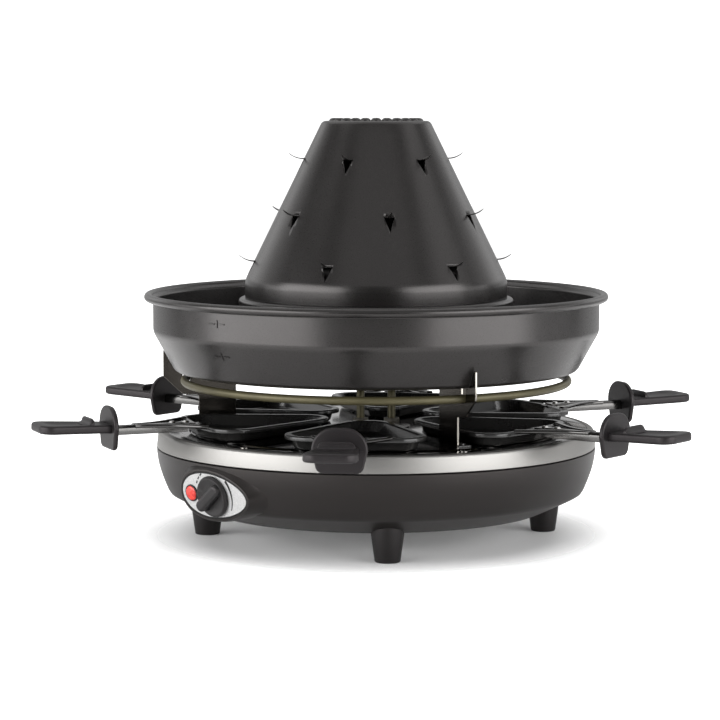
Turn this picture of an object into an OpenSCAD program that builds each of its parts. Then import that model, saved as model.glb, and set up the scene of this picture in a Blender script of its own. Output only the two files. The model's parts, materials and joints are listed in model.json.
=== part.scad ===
// Round raclette grill for six small pans, with a broth pan and a conical grilling hat on top.
// Millimetres, +Z up, origin on the table under the centre of the base, front towards -Y.
// Azimuths are measured from the front, positive towards +X.

/* [Base] */
// Outer radius of the chrome ring and of the housing below it
base_r = 180; // [166:1:200]
// How far the edge of the flat underside lies inside the base radius
bottom_inset = 40; // [35:1:46]
// Height of the underside above the table
stand_h = 22; // [19:0.5:30]
// How far the crease of the housing lies inside the base radius
crease_inset = 10; // [8:0.5:14]
// Height of the bevel between underside and crease
bevel_h = 15; // [12:0.5:18]
// Height of the housing from its underside to the chrome ring
housing_h = 51.6; // [49:0.1:58]
// Wall of the plastic housing
housing_wall = 2.6; // [2.2:0.1:3.2]
// How far the edge of the service opening lies inside the base radius
opening_inset = 68; // [66:1:76]
// Height of the chrome ring
ring_h = 14.1; // [12:0.1:18]
// Sheet of the chrome ring
ring_sheet = 1; // [0.8:0.1:1.2]
// Inward lean of the chrome ring over its height
ring_lean = 1.4; // [0.8:0.1:1.8]
// Width of the lip at the top of the ring, from the base radius inwards
ring_lip = 7; // [6.4:0.1:8]
// Rounding of the top edge of the ring
ring_round = 2.6; // [2.2:0.1:3]
// Sheet of the reflector tray
tray_sheet = 1; // [0.8:0.1:1.4]
// How far the inner edge of the tray's drip groove lies inside the base radius
groove_inset = 28; // [26:1:31]
// Width of the drip groove
groove_w = 10; // [6:0.5:11]
// Depth of the drip groove
groove_depth = 1.5; // [1:0.1:2]
// How far the heat shield's edge lies inside the base radius
shield_inset = 33; // [33:0.5:38]
// Drop of the heat shield below the tray
shield_drop = 8; // [7:0.5:12]
// How far the bottom cover laps over the edge of the service opening
cover_lap = 11; // [9:0.5:12]
// Sheet of the bottom cover
cover_sheet = 1.8; // [1.4:0.1:2.4]
// Number of cooling slots in the bottom cover
cover_slots = 12; // [8:1:16]

/* [Feet] */
// Number of feet
foot_count = 4; // [4:1:4]
// Radius of a foot where it meets the table
foot_r = 10; // [9:0.5:11]
// Radius of a foot at the top
foot_top_r = 13; // [12:0.5:14]
// How far the middle of a foot lies inside the base radius
foot_inset = 41; // [38:0.5:42]
// Azimuth of the first foot
foot_azimuth = 3.7; // [0:0.1:8]
// Depth of the screw recess in a foot
foot_recess = 12; // [8:0.5:13]

/* [Heater] */
// How far the heater ring lies inside the base radius
heater_inset = 23; // [21:0.5:26]
// Diameter of the heater tube
tube_d = 6.6; // [6:0.1:7.4]
// Height of the heater ring above the tray
heater_h = 39.3; // [36:0.1:40]
// Distance between the two legs of the heater
leg_gap = 25.5; // [22:0.5:30]
// Bend radius of the heater tube
bend_r = 16; // [13:0.5:20]
// Length of the legs below the tray
leg_drop = 27; // [22:0.5:30]
// Length of the cold pins below the legs
pin_drop = 10; // [7:0.5:12]
// Radius of the flange that carries the legs
flange_r = 28; // [26:0.5:32]

/* [Brackets] */
// Number of brackets that carry the broth pan
bracket_count = 3; // [3:1:3]
// Turn of the brackets away from the middle between two small pans
bracket_turn = 2.2; // [0:0.1:3]
// Sheet of the brackets
bracket_sheet = 1.5; // [1.2:0.1:2]
// How far the inner edge of a bracket lies inside the heater ring
bracket_in = 41; // [37:0.5:43]
// How far the outer edge of a bracket's post lies inside the heater ring
bracket_out = 10; // [8:0.5:12]
// Height of the post, up to where the arm leaves it
post_h = 25.3; // [23:0.1:26]
// Width of the finger that centres the broth pan
finger_w = 3; // [2.7:0.1:4]
// Height of the finger above the broth pan's bottom
finger_h = 14.5; // [10:0.5:16]
// Width of the foot tab that is screwed to the tray
tab_w = 12; // [10:0.5:14]

/* [Broth pan] */
// Height of the pan's bottom above the tray
pan_seat_h = 47.8; // [47:0.1:50]
// How far the edge of the flat bottom lies inside the upright wall
pan_taper = 17.8; // [16:0.1:20]
// How far the upright wall stands out beyond the base radius
pan_overhang = 2.3; // [-1:0.1:6]
// Height of the slanted part of the wall
pan_slant_h = 32.5; // [28:0.5:37]
// Height of the upright part of the wall, up to the top of the rim
pan_upright_h = 31.4; // [27:0.1:36]
// How far the rim flares out from the wall to the middle of its bead
rim_flare = 3.9; // [3.4:0.1:5]
// Radius of the rolled bead on the rim
bead_r = 3.3; // [2.6:0.1:4]
// Sheet of the broth pan
pan_sheet = 2; // [1.6:0.1:2.4]
// Radius of the hub inside the trough
hub_r = 112.5; // [111:0.1:114]
// Height of the collar that carries the hat, above the pan's bottom
collar_h = 59.2; // [52:0.1:63]
// Height of the spigot inside the hat
spigot_h = 6; // [4:0.5:8]
// Sheet of the spigot
spigot_sheet = 1.8; // [1.4:0.1:2.4]

/* [Hat] */
// How far the hat's base lies inside the hub
hat_inset = 5.3; // [4.5:0.1:7]
// Height of the hat
hat_h = 143.5; // [136:0.5:150]
// Height of the upright band at the base
band_h = 10; // [6:0.5:14]
// Rounding between band and cone
shoulder_r = 18; // [12:1:24]
// Half angle of the cone
cone_angle = 26.1; // [24:0.1:27]
// Rounding of the crown
crown_r = 5; // [3.5:0.5:7]
// Sheet of the hat
hat_sheet = 1.6; // [1.2:0.1:2]
// Number of spikes in a row
spike_count = 6; // [4:1:8]
// Azimuth of the first spike in the upper and lower rows
spike_azimuth = -22.5; // [-30:0.5:30]
// Height of the lowest row of spikes above the hat's base
row_low = 29.5; // [27:0.5:36]
// Height of the middle row
row_middle = 68; // [60:0.5:74]
// Height of the upper row
row_high = 112.5; // [106:0.5:116]
// Width of a spike at its root
spike_w = 8.6; // [7:0.1:10]
// How far a spike stands out
spike_reach = 12.6; // [10:0.1:15]
// How far a spike's point rises above its root
spike_rise = 4.9; // [3:0.1:6]
// Sheet of a spike
spike_sheet = 0.9; // [0.7:0.1:1.2]
// Height of the hole that a spike is punched from
spike_hole_h = 11.4; // [9:0.1:14]
// Number of vent nibs on the crown
nib_count = 18; // [12:1:22]
// Distance of the vent nibs from the axis
nib_pitch_r = 34; // [30:0.5:35]
// Radius of a vent nib at its foot
nib_r = 2.4; // [2:0.1:2.8]
// Height of a vent nib
nib_h = 2.3; // [1.5:0.1:3]
// Radius of the hole in a vent nib
nib_hole_r = 0.9; // [0.6:0.1:1.1]

/* [Small pans] */
// Number of small pans
pan_count = 6; // [6:1:6]
// Azimuth of the front pan
pan_azimuth = -6.7; // [-10:0.1:10]
// Radius of the rounded inner tip of a dish
dish_tip_r = 48.5; // [42:0.5:54]
// How far the outer corners of a dish lie inside the base radius
dish_inset = 26.5; // [22:0.5:32]
// How far the outer side of a dish swells beyond its corners
dish_bulge = 4; // [2:0.5:6]
// Width of a dish across its outer corners
dish_w = 101; // [94:0.5:104]
// Corner radius of a dish
dish_corner_r = 17.5; // [14:0.5:20]
// Depth of a dish, with its floor
dish_depth = 10.6; // [9.6:0.1:13]
// Draft of the dish wall between floor and rim
dish_draft = 3; // [1.5:0.1:4.5]
// Sheet of a dish
dish_sheet = 1.2; // [1:0.1:1.5]
// Width of the rim lip around a dish
lip_w = 4.5; // [3.6:0.1:5.2]
// Height of the rim lip, which is turned down at its edge
lip_h = 3.4; // [2.6:0.1:4.2]
// Length of the tongue that the stem is riveted to
tongue_l = 18; // [16:0.5:22]
// Width of a stem
stem_w = 10; // [9:0.1:12]
// Height of a stem's folded walls
stem_h = 7.4; // [7:0.1:9]
// Sheet of a stem
stem_sheet = 1.1; // [0.9:0.1:1.4]
// Width of the forked end of a stem
fork_w = 64; // [54:1:68]
// Length of the fork, from the dish to where it meets the straight stem
fork_l = 45; // [36:0.5:50]
// Width of the prongs on both sides of the fork
prong_w = 5; // [4:0.1:6]
// Length of the stem from the dish's corners to the hand guard
stem_l = 73.5; // [70:0.1:80]
// Thickness of the hand guard
guard_t = 4; // [3:0.1:5]
// Width of the hand guard
guard_w = 42; // [36:0.5:46]
// Height of the hand guard
guard_h = 34; // [32:0.5:40]
// Length of the grip, with the hand guard
grip_l = 62; // [56:0.1:68]
// Width of a grip at its tip
grip_w = 43; // [38:0.5:46]
// Width of a grip at the guard
neck_w = 28; // [24:0.5:32]
// Thickness of a grip
grip_t = 6.8; // [6.4:0.1:8]
// Rise of a grip's blade towards its tip, in degrees
grip_tilt = 2.2; // [0:0.1:4]
// Depth of the recess in a grip's top
grip_recess = 1.6; // [1:0.1:2]
// Height of the thumb stop on a grip
thumb_h = 4.8; // [3:0.1:6]
// Length of the tang inside a grip
tang_l = 24; // [20:0.5:28]

/* [Controls] */
// Azimuth of the control panel
panel_azimuth = -44.5; // [-60:0.5:-38]
// Height of the control panel's centre above the table
panel_z = 49.5; // [48:0.5:51]
// How far the panel seat lies inside the base radius
panel_inset = 2; // [0:0.5:4]
// Downward tilt of the panel
panel_tilt = 10; // [6:0.5:12]
// Width of the panel
panel_w = 75; // [70:0.5:77]
// Height of the panel
panel_h = 37; // [35:0.5:38]
// How much narrower the panel is towards its right end
panel_taper = 0.18; // [0.1:0.01:0.22]
// Sheet of the panel
panel_sheet = 1; // [0.8:0.1:1.4]
// Width of the housing's rim around the panel
panel_rim = 2.2; // [1.8:0.1:2.6]
// Depth of the swelling that carries the panel
boss_depth = 14; // [13:0.5:16]
// Growth of the swelling towards the housing
boss_spread = 10; // [8:0.5:11]
// Shift of the swelling's foot to the right
boss_shift = 7; // [4:0.5:8]
// Wall of the swelling behind the panel
boss_wall = 3; // [2.5:0.1:3.5]
// Diameter of the knob
knob_d = 33; // [30:0.5:34]
// Height of the knob's disc
knob_h = 3.5; // [3:0.5:5]
// Height of the grip ridge above the disc, at its higher end
ridge_h = 6.5; // [5.5:0.5:8]
// Width of the grip ridge
ridge_w = 9.5; // [9:0.5:11]
// Angle of the grip ridge at rest
ridge_angle = 40; // [0:1:90]
// Diameter of the thermostat shaft
shaft_d = 6; // [5:0.1:6.4]
// Distance of the lamp from the knob's axis
lamp_offset = 25.6; // [25:0.1:26.5]
// Outer diameter of the lamp's bezel
lamp_d = 14; // [12.5:0.1:14.5]
// Width of the thermostat's case
thermostat_w = 28; // [24:0.5:29]
// Height of the thermostat's case
thermostat_h = 24; // [20:0.5:25]
// Depth of the thermostat's case
thermostat_d = 20; // [17:0.5:24]

/* [Mains inlet] */
// Radius of the hole through the cord gland
inlet_r = 4; // [3.5:0.1:4.5]
// Outer radius of the cord gland
gland_r = 7.8; // [7.2:0.1:8.4]
// Height of the cord gland above the table
gland_z = 50; // [47:0.5:56]
// How far the gland's inner seat lies inside the base radius
gland_inset = 20; // [18:0.5:23]
// Length of the gland that shows outside the housing
gland_proud = 6; // [4:0.5:9]
// Width of the terminal block
block_w = 34; // [28:0.5:40]
// Depth of the terminal block
block_d = 18; // [15:0.5:22]
// Height of the terminal block
block_h = 14; // [12:0.5:18]
// How far the terminal block lies inside the base radius
block_inset = 95; // [82:1:110]
// Diameter of an insulated wire
wire_d = 2.6; // [2:0.1:3]

/* [Fasteners] */
// Radius of the screw shanks
screw_r = 1.75; // [1.5:0.05:2]
// Radius of the screw heads
head_r = 3.2; // [3:0.1:3.6]
// Height of the screw heads
head_h = 1.6; // [1.2:0.1:2.2]
// Radius of the rivet shanks
rivet_r = 1.5; // [1.2:0.05:1.7]
// Radius of the rivet heads
rivet_head_r = 2.8; // [2.5:0.1:3.2]

/* [Clearances] */
// Gap between pieces that lift or slide apart
lift_gap = 0.3; // [0.2:0.05:0.6]
// Gap around pieces that are assembled into each other
slip = 0.1; // [0.05:0.01:0.2]
// Radial clearance of the turning shaft
shaft_clear = 0.05; // [0.02:0.01:0.1]

/* [Hidden] */
$fn = 96;

// Levels of the stack, from the table upwards
ring_z = stand_h + housing_h;
deck_z = ring_z + ring_h;
ledge_z = deck_z - tray_sheet;
crease_z = stand_h + bevel_h;
heater_z = deck_z + heater_h;
pan_z = deck_z + pan_seat_h;
collar_z = pan_z + collar_h;
hat_z = collar_z + lift_gap;
dish_z = deck_z + lift_gap;
rim_z = dish_z + dish_depth;

// Radii of the stack
spigot_inset = 5;
ledge_w = 9;
crease_r = base_r - crease_inset;
bottom_r = base_r - bottom_inset;
opening_r = base_r - opening_inset;
cover_r = opening_r + cover_lap;
spigot_r = base_r - spigot_inset;
ledge_r = spigot_r - ledge_w;
lip_r = base_r - ring_lip;
groove_r = base_r - groove_inset;
shield_r = base_r - shield_inset;
foot_pitch_r = base_r - foot_inset;
panel_r = base_r - panel_inset;
gland_seat = base_r - gland_inset;
block_y = base_r - block_inset;
heater_r = base_r - heater_inset;
bracket_in_r = heater_r - bracket_in;
bracket_out_r = heater_r - bracket_out;
pan_wall_r = base_r + pan_overhang;
pan_bottom_r = pan_wall_r - pan_taper;
hat_r = hub_r - hat_inset;
dish_outer_r = base_r - dish_inset;
dish_rim_r = dish_outer_r + dish_bulge + lip_w;
guard_r = dish_outer_r + stem_l;
tray_r = lip_r - 2 * slip;
tray_screw_r = (ledge_r + tray_r) / 2;

// Small constants of the build
side_steps = 8;
arc_steps = 6;
pan_step = 360 / pan_count;
bracket_step = 360 / bracket_count;
foot_step = 360 / foot_count;
gap_azimuth = pan_azimuth + pan_step / 2;
bracket_azimuth = gap_azimuth + bracket_turn;
cover_screw_r = (opening_r + cover_r) / 2;
flange_t = 1.5;
bush_h = 6;
bush_wall = 3;
bend_swell = 0.15;
bend_lap = 1.5;
tube_r = tube_d / 2;
screw_bite = 9;
overrun = 1;

// Direction of a vector
function unit(v) = v / norm(v);

// Points that round the corner at p, between its neighbours a and b
function corner(a, p, b, r) =
    let (u = unit(a - p), v = unit(b - p), half = acos(u * v) / 2)
    let (c = p + unit(u + v) * r / sin(half))
    let (s = p + u * r / tan(half) - c, e = p + v * r / tan(half) - c)
    let (from = atan2(s.y, s.x), turn = atan2(s.x * e.y - s.y * e.x, s * e))
    r <= 0 ? [p]
        : [for (i = [0:arc_steps]) let (t = from + turn * i / arc_steps) c + r * [cos(t), sin(t)]];

// Closed outline with each corner rounded by its own radius
function rounded(points, radii) = let (n = len(points)) [
    for (i = [0:n - 1]) each corner(points[(i + n - 1) % n], points[i], points[(i + 1) % n], radii[i])
];

// Outline around circles of one radius, whose centres run anticlockwise
function around(centres, r) = let (n = len(centres)) [
    for (i = [0:n - 1])
        let (d0 = centres[i] - centres[(i + n - 1) % n], d1 = centres[(i + 1) % n] - centres[i])
        let (from = atan2(-d0.x, d0.y), turn = (atan2(-d1.x, d1.y) - from + 720) % 360)
        for (k = [0:arc_steps])
            let (t = from + turn * k / arc_steps) centres[i] + r * [cos(t), sin(t)]
];

// Place at an azimuth, with local +X pointing outwards
module at_azimuth(a) {
    rotate([0, 0, a - 90]) children();
}

// Place on the control panel's seat, with local +Z out of the panel and +Y up
module on_panel() {
    rotate([0, 0, panel_azimuth])
        translate([0, -panel_r, panel_z])
            rotate([90 + panel_tilt, 0, 0])
                children();
}

// A point of the control panel's own frame, in the frame of the whole grill
function from_panel(p) =
    let (y = -panel_r - p.z * cos(panel_tilt) - p.y * sin(panel_tilt))
    let (z = panel_z - p.z * sin(panel_tilt) + p.y * cos(panel_tilt))
    [p.x * cos(panel_azimuth) - y * sin(panel_azimuth),
     p.x * sin(panel_azimuth) + y * cos(panel_azimuth), z];

// Round tube of small diameter along a list of points
module tube_along(points, d, sides = 8) {
    n = len(points);
    ahead = [for (i = [0:n - 1]) unit(points[min(i + 1, n - 1)] - points[max(i - 1, 0)])];
    ring = [for (i = [0:n - 1])
        let (u = unit(cross(ahead[i], [0.31, 0.17, 0.93])), v = cross(ahead[i], u))
        for (k = [0:sides - 1]) let (t = 360 * k / sides)
            points[i] + d / 2 * (cos(t) * u + sin(t) * v)];
    walls = [for (i = [0:n - 2], k = [0:sides - 1])
        let (a = i * sides + k, b = i * sides + (k + 1) % sides)
        each [[a, a + sides, b], [b, a + sides, b + sides]]];
    caps = [for (k = [1:sides - 2]) each [[0, k, k + 1],
        [(n - 1) * sides, (n - 1) * sides + k + 1, (n - 1) * sides + k]]];
    polyhedron(ring, concat(walls, caps));
}

// Pan-head screw that stands on z = 0 with its shank below
module screw(bite) {
    translate([0, 0, -bite]) cylinder(r = screw_r, h = bite + head_h / 2);
    cylinder(r1 = head_r, r2 = head_r * 0.8, h = head_h);
}

// Outer side of the housing, swelling from the crease to the ring
function housing_curve(inset, top) = [
    for (i = [0:side_steps])
        let (t = i / side_steps, z = crease_z + (top - crease_z) * t)
        [crease_r + crease_inset * sin(90 * (z - crease_z) / (ring_z - crease_z)) - inset, z]
];

// Hollow of the housing, from its floor up to the ledge
module housing_hollow() {
    bevel_slope = bevel_h / (crease_r - bottom_r);
    curve = housing_curve(housing_wall, ring_z - housing_wall);
    rotate_extrude()
        polygon(concat(
            [[0, stand_h + housing_wall], [bottom_r, stand_h + housing_wall]],
            [[crease_r - housing_wall, crease_z + housing_wall * (1 - bevel_slope)]],
            [for (i = [1:side_steps]) curve[i]],
            [[spigot_r - housing_wall, ring_z - housing_wall],
             [spigot_r - housing_wall, ledge_z - housing_wall]],
            [[0, ledge_z - housing_wall]]
        ));
}

// Full outer form of the housing, without its hollow
module housing_form() {
    rotate_extrude()
        polygon(concat(
            [[0, stand_h], [bottom_r, stand_h]],
            housing_curve(0, ring_z),
            [[spigot_r, ring_z], [spigot_r, ledge_z], [0, ledge_z]]
        ));
}

// Outline of the control panel, grown by a margin
function panel_outline(grow) = [
    for (t = [0:7.5:359])
        [(panel_w / 2 + grow) * cos(t), (panel_h / 2 + grow) * sin(t) * (1 - panel_taper * cos(t))]
];

// Swelling of the housing that carries the control panel
module panel_boss() {
    intersection() {
        on_panel() hull() {
            linear_extrude(panel_sheet) polygon(panel_outline(panel_rim));
            translate([boss_shift, 0, -boss_depth]) linear_extrude(1) polygon(panel_outline(boss_spread));
        }
        difference() {
            cylinder(r = base_r + boss_depth, h = ring_z);
            housing_hollow();
        }
    }
}

neck_wall = 2;
pocket_gap = 1.4;
bezel_w = 1.2;
lamp_flange_w = 1.4;
lamp_flange_t = 2;
thermostat_neck_r = shaft_d / 2 + neck_wall;
pocket_r = norm([thermostat_w, thermostat_h]) / 2 + pocket_gap;
lamp_r = lamp_d / 2 - bezel_w;
lamp_l = 18;
lamp_flange_r = lamp_r + lamp_flange_w;

// Seats and holes behind the control panel
module panel_cuts() {
    pocket_l = boss_depth - 1 - boss_wall;
    on_panel() {
        linear_extrude(panel_sheet + overrun) polygon(panel_outline(slip));
        translate([0, 0, -boss_wall - pocket_l]) cylinder(r = pocket_r, h = pocket_l);
        translate([0, 0, -boss_wall - overrun])
            cylinder(r = thermostat_neck_r + slip, h = boss_wall + 2 * overrun);
        translate([-lamp_offset, 0, -boss_wall - pocket_l])
            cylinder(r = lamp_flange_r + pocket_gap, h = pocket_l);
        translate([-lamp_offset, 0, -boss_wall - overrun])
            cylinder(r = lamp_r + slip, h = boss_wall + 2 * overrun);
    }
}

gland_flange_w = 3;
gland_flange_t = 3;
gland_flange_r = gland_r + gland_flange_w;
gland_out = crease_r + crease_inset * sin(90 * (gland_z - crease_z) / (ring_z - crease_z)) + gland_proud;

// Rod that points to the back at the height of the gland
module to_back(r, from, to) {
    translate([0, from, gland_z]) rotate([-90, 0, 0]) cylinder(r = r, h = to - from);
}

// Screw boss under each foot, inside the housing
module at_feet(radius) {
    for (i = [0:foot_count - 1])
        at_azimuth(foot_azimuth + i * foot_step) translate([radius, 0, 0]) children();
}

foot_bite = 13;
foot_boss_wall = 3;
foot_head_gap = 1.6;
foot_bore_top = stand_h + foot_bite;

module base_housing() {
    color([0.2, 0.18, 0.17])
    difference() {
        union() {
            difference() {
                housing_form();
                housing_hollow();
                cylinder(r = opening_r, h = ledge_z);
                translate([0, 0, ledge_z - housing_wall - overrun])
                    cylinder(r = ledge_r, h = housing_wall + 2 * overrun);
            }
            panel_boss();
            intersection() {
                housing_form();
                to_back(gland_flange_r, gland_seat + gland_flange_t, base_r);
            }
            intersection() {
                housing_form();
                at_feet(foot_pitch_r)
                    cylinder(r = screw_r + foot_boss_wall, h = foot_bore_top + foot_boss_wall);
            }
        }
        panel_cuts();
        to_back(gland_r + slip, gland_seat, base_r + overrun);
        at_feet(foot_pitch_r) cylinder(r = screw_r + slip, h = foot_bore_top);
        at_cover_screws() translate([0, 0, -overrun])
            cylinder(r = screw_r + slip, h = housing_wall + 2 * overrun);
        at_tray_screws() translate([0, 0, -screw_bite])
            cylinder(r = screw_r + slip, h = screw_bite + overrun);
    }
}

// Places of the screws that hold the bottom cover, on the housing's underside
module at_cover_screws() {
    for (i = [0:foot_count - 1])
        at_azimuth(foot_azimuth + (i + 0.5) * foot_step)
            translate([cover_screw_r, 0, stand_h]) children();
}

// Places of the screws that hold the tray, between the small pans
module at_tray_screws() {
    for (i = [0:pan_count - 1])
        at_azimuth(gap_azimuth + i * pan_step) translate([tray_screw_r, 0, deck_z]) children();
}

module bottom_cover() {
    slot_w = 5;
    slot_margin = 10;
    slot_in = opening_r / 2;
    color([0.3, 0.3, 0.31])
    difference() {
        translate([0, 0, stand_h - cover_sheet]) cylinder(r = cover_r, h = cover_sheet);
        for (i = [0:cover_slots - 1])
            rotate([0, 0, i * 360 / cover_slots])
                translate([slot_in, -slot_w / 2, stand_h - cover_sheet - overrun])
                    cube([opening_r - slot_in - slot_margin, slot_w, cover_sheet + 2 * overrun]);
        at_cover_screws()
            translate([0, 0, -cover_sheet - overrun])
                cylinder(r = screw_r + slip, h = cover_sheet + 2 * overrun);
    }
}

module cover_screws() {
    color([0.6, 0.6, 0.6])
    at_cover_screws() translate([0, 0, -cover_sheet]) mirror([0, 0, 1]) screw(screw_bite);
}

module foot(i) {
    color([0.16, 0.15, 0.15])
    difference() {
        at_azimuth(foot_azimuth + i * foot_step)
            translate([foot_pitch_r, 0, 0]) cylinder(r1 = foot_r, r2 = foot_top_r, h = stand_h + bevel_h);
        housing_form();
        at_azimuth(foot_azimuth + i * foot_step) translate([foot_pitch_r, 0, 0]) {
            translate([0, 0, -overrun]) cylinder(r = head_r + foot_head_gap, h = foot_recess + overrun);
            cylinder(r = screw_r + slip, h = foot_bore_top);
        }
    }
}

module foot_screws() {
    color([0.6, 0.6, 0.6])
    at_feet(foot_pitch_r)
        translate([0, 0, foot_recess]) mirror([0, 0, 1]) screw(foot_bore_top - foot_recess - overrun);
}

module chrome_ring() {
    top_r = base_r - ring_lean;
    inner_round = ring_round - ring_sheet;
    color([0.88, 0.87, 0.85])
    rotate_extrude()
        polygon(rounded(
            [[base_r - ring_sheet, ring_z], [base_r, ring_z], [top_r, deck_z], [lip_r, deck_z],
             [lip_r, deck_z - ring_sheet], [top_r - ring_sheet, deck_z - ring_sheet]],
            [0, 0, ring_round, 0, 0, inner_round]
        ));
}

module at_legs() {
    for (side = [-1, 1]) translate([side * leg_gap / 2, 0, 0]) children();
}

flange_screw_y = 20;

module reflector_tray() {
    groove_out = groove_r + groove_w;
    slope_w = groove_depth;
    color([0.7, 0.7, 0.7])
    difference() {
        rotate_extrude()
            polygon([
                [0, ledge_z], [groove_r, ledge_z], [groove_r + slope_w, ledge_z - groove_depth],
                [groove_out - slope_w, ledge_z - groove_depth], [groove_out, ledge_z], [tray_r, ledge_z],
                [tray_r, deck_z], [groove_out, deck_z], [groove_out - slope_w, deck_z - groove_depth],
                [groove_r + slope_w, deck_z - groove_depth], [groove_r, deck_z], [0, deck_z]
            ]);
        at_legs() translate([0, 0, ledge_z - overrun])
            cylinder(r = tube_r + 4 * slip, h = tray_sheet + 2 * overrun);
        at_tray_screws() translate([0, 0, -screw_bite])
            cylinder(r = screw_r + slip, h = screw_bite + overrun);
        at_flange_screws() translate([0, 0, -screw_bite])
            cylinder(r = screw_r + slip, h = screw_bite + overrun);
        at_bracket_screws() translate([0, 0, -screw_bite])
            cylinder(r = screw_r + slip, h = screw_bite + overrun);
    }
}

module at_flange_screws() {
    for (side = [-1, 1]) translate([0, side * flange_screw_y, deck_z]) children();
}

module tray_screws() {
    color([0.75, 0.74, 0.72]) {
        at_tray_screws() screw(screw_bite);
        at_flange_screws() translate([0, 0, flange_t]) screw(shield_drop / 2);
    }
}

module heat_shield() {
    shield_sheet = 0.8;
    color([0.65, 0.65, 0.66])
    difference() {
        translate([0, 0, ledge_z - shield_drop]) cylinder(r = shield_r, h = shield_drop);
        translate([0, 0, ledge_z - shield_drop + shield_sheet])
            cylinder(r = shield_r - shield_sheet, h = shield_drop);
        at_legs() translate([0, 0, ledge_z - shield_drop - overrun])
            cylinder(r = tube_r + 3, h = shield_sheet + 2 * overrun);
    }
}

module control_panel() {
    color([0.86, 0.86, 0.86])
    on_panel() difference() {
        linear_extrude(panel_sheet) polygon(panel_outline(0));
        translate([0, 0, -overrun]) cylinder(r = thermostat_neck_r + slip, h = panel_sheet + 2 * overrun);
        translate([-lamp_offset, 0, -overrun]) cylinder(r = lamp_r, h = panel_sheet + 2 * overrun);
    }
}

module lamp_bezel() {
    bezel_h = 1.2;
    color([0.1, 0.1, 0.1])
    on_panel() translate([-lamp_offset, 0, panel_sheet]) difference() {
        cylinder(r1 = lamp_d / 2, r2 = lamp_d / 2 - 0.4, h = bezel_h);
        translate([0, 0, -overrun]) cylinder(r = lamp_r, h = bezel_h + 2 * overrun);
    }
}

module lamp_lens() {
    lens_r = lamp_r - slip;
    lens_h = panel_sheet + 1.4;
    dome_h = 1;
    dome_r = (lens_r * lens_r + dome_h * dome_h) / (2 * dome_h);
    color([0.8, 0.08, 0.06])
    on_panel() translate([-lamp_offset, 0, 0]) intersection() {
        cylinder(r = lens_r, h = lens_h + dome_h);
        translate([0, 0, lens_h + dome_h - dome_r]) sphere(r = dome_r);
    }
}

module lamp_holder() {
    color([0.85, 0.83, 0.78])
    on_panel() translate([-lamp_offset, 0, 0]) {
        translate([0, 0, -lamp_l]) cylinder(r = lamp_r, h = lamp_l);
        translate([0, 0, -boss_wall - lamp_flange_t]) cylinder(r = lamp_flange_r, h = lamp_flange_t);
    }
}

module thermostat_case() {
    bore_l = thermostat_d / 2;
    color([0.75, 0.73, 0.68])
    on_panel() difference() {
        union() {
            translate([-thermostat_w / 2, -thermostat_h / 2, -boss_wall - thermostat_d])
                cube([thermostat_w, thermostat_h, thermostat_d]);
            translate([0, 0, -boss_wall - overrun])
                cylinder(r = thermostat_neck_r, h = boss_wall + overrun);
        }
        translate([0, 0, -boss_wall - bore_l])
            cylinder(r = shaft_d / 2 + shaft_clear, h = boss_wall + bore_l + overrun);
    }
}

knob_gap = 0.6;
knob_socket = 6;

module thermostat_shaft() {
    foot = -boss_wall - thermostat_d / 2 + lift_gap;
    tip = panel_sheet + knob_gap + knob_socket;
    color([0.7, 0.7, 0.7])
    on_panel() translate([0, 0, foot]) cylinder(r = shaft_d / 2, h = tip - foot);
}

module knob() {
    knob_r = knob_d / 2;
    taper = 1.2;
    dish = 0.8;
    ridge_draft = 1;
    ridge_top = knob_h + ridge_h;
    ridge_end = knob_h + ridge_h / 2;
    color([0.13, 0.13, 0.13])
    on_panel() translate([0, 0, panel_sheet + knob_gap]) difference() {
        union() {
            rotate_extrude()
                polygon(rounded(
                    [[0, 0], [knob_r, 0], [knob_r, knob_h / 2], [knob_r - taper, knob_h],
                     [knob_r - 2 * taper, knob_h], [0, knob_h - dish]],
                    [0, 0.5, 0.6, 0.6, 0, 0]
                ));
            rotate([0, 0, ridge_angle]) intersection() {
                cylinder(r = knob_r - taper, h = ridge_top);
                rotate([90, 0, 90]) linear_extrude(knob_d, center = true)
                    polygon(rounded(
                        [[-ridge_w / 2 - ridge_draft, dish], [ridge_w / 2 + ridge_draft, dish],
                         [ridge_w / 2 - ridge_draft, ridge_top], [ridge_draft - ridge_w / 2, ridge_top]],
                        [0, 0, 1.4, 1.4]
                    ));
                rotate([90, 0, 0]) linear_extrude(knob_d, center = true)
                    polygon([[-knob_r, 0], [knob_r, 0], [knob_r, ridge_end], [-knob_r, ridge_top]]);
            }
        }
        translate([0, 0, -overrun])
            cylinder(r = shaft_d / 2 + slip / 4, h = knob_socket + slip + overrun);
    }
}

// Bend of the heater tube about local Z, a little fuller than the straight tube
module heater_bend(angle) {
    rotate_extrude(angle = angle) translate([bend_r, 0]) circle(r = tube_r + bend_swell);
}

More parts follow.
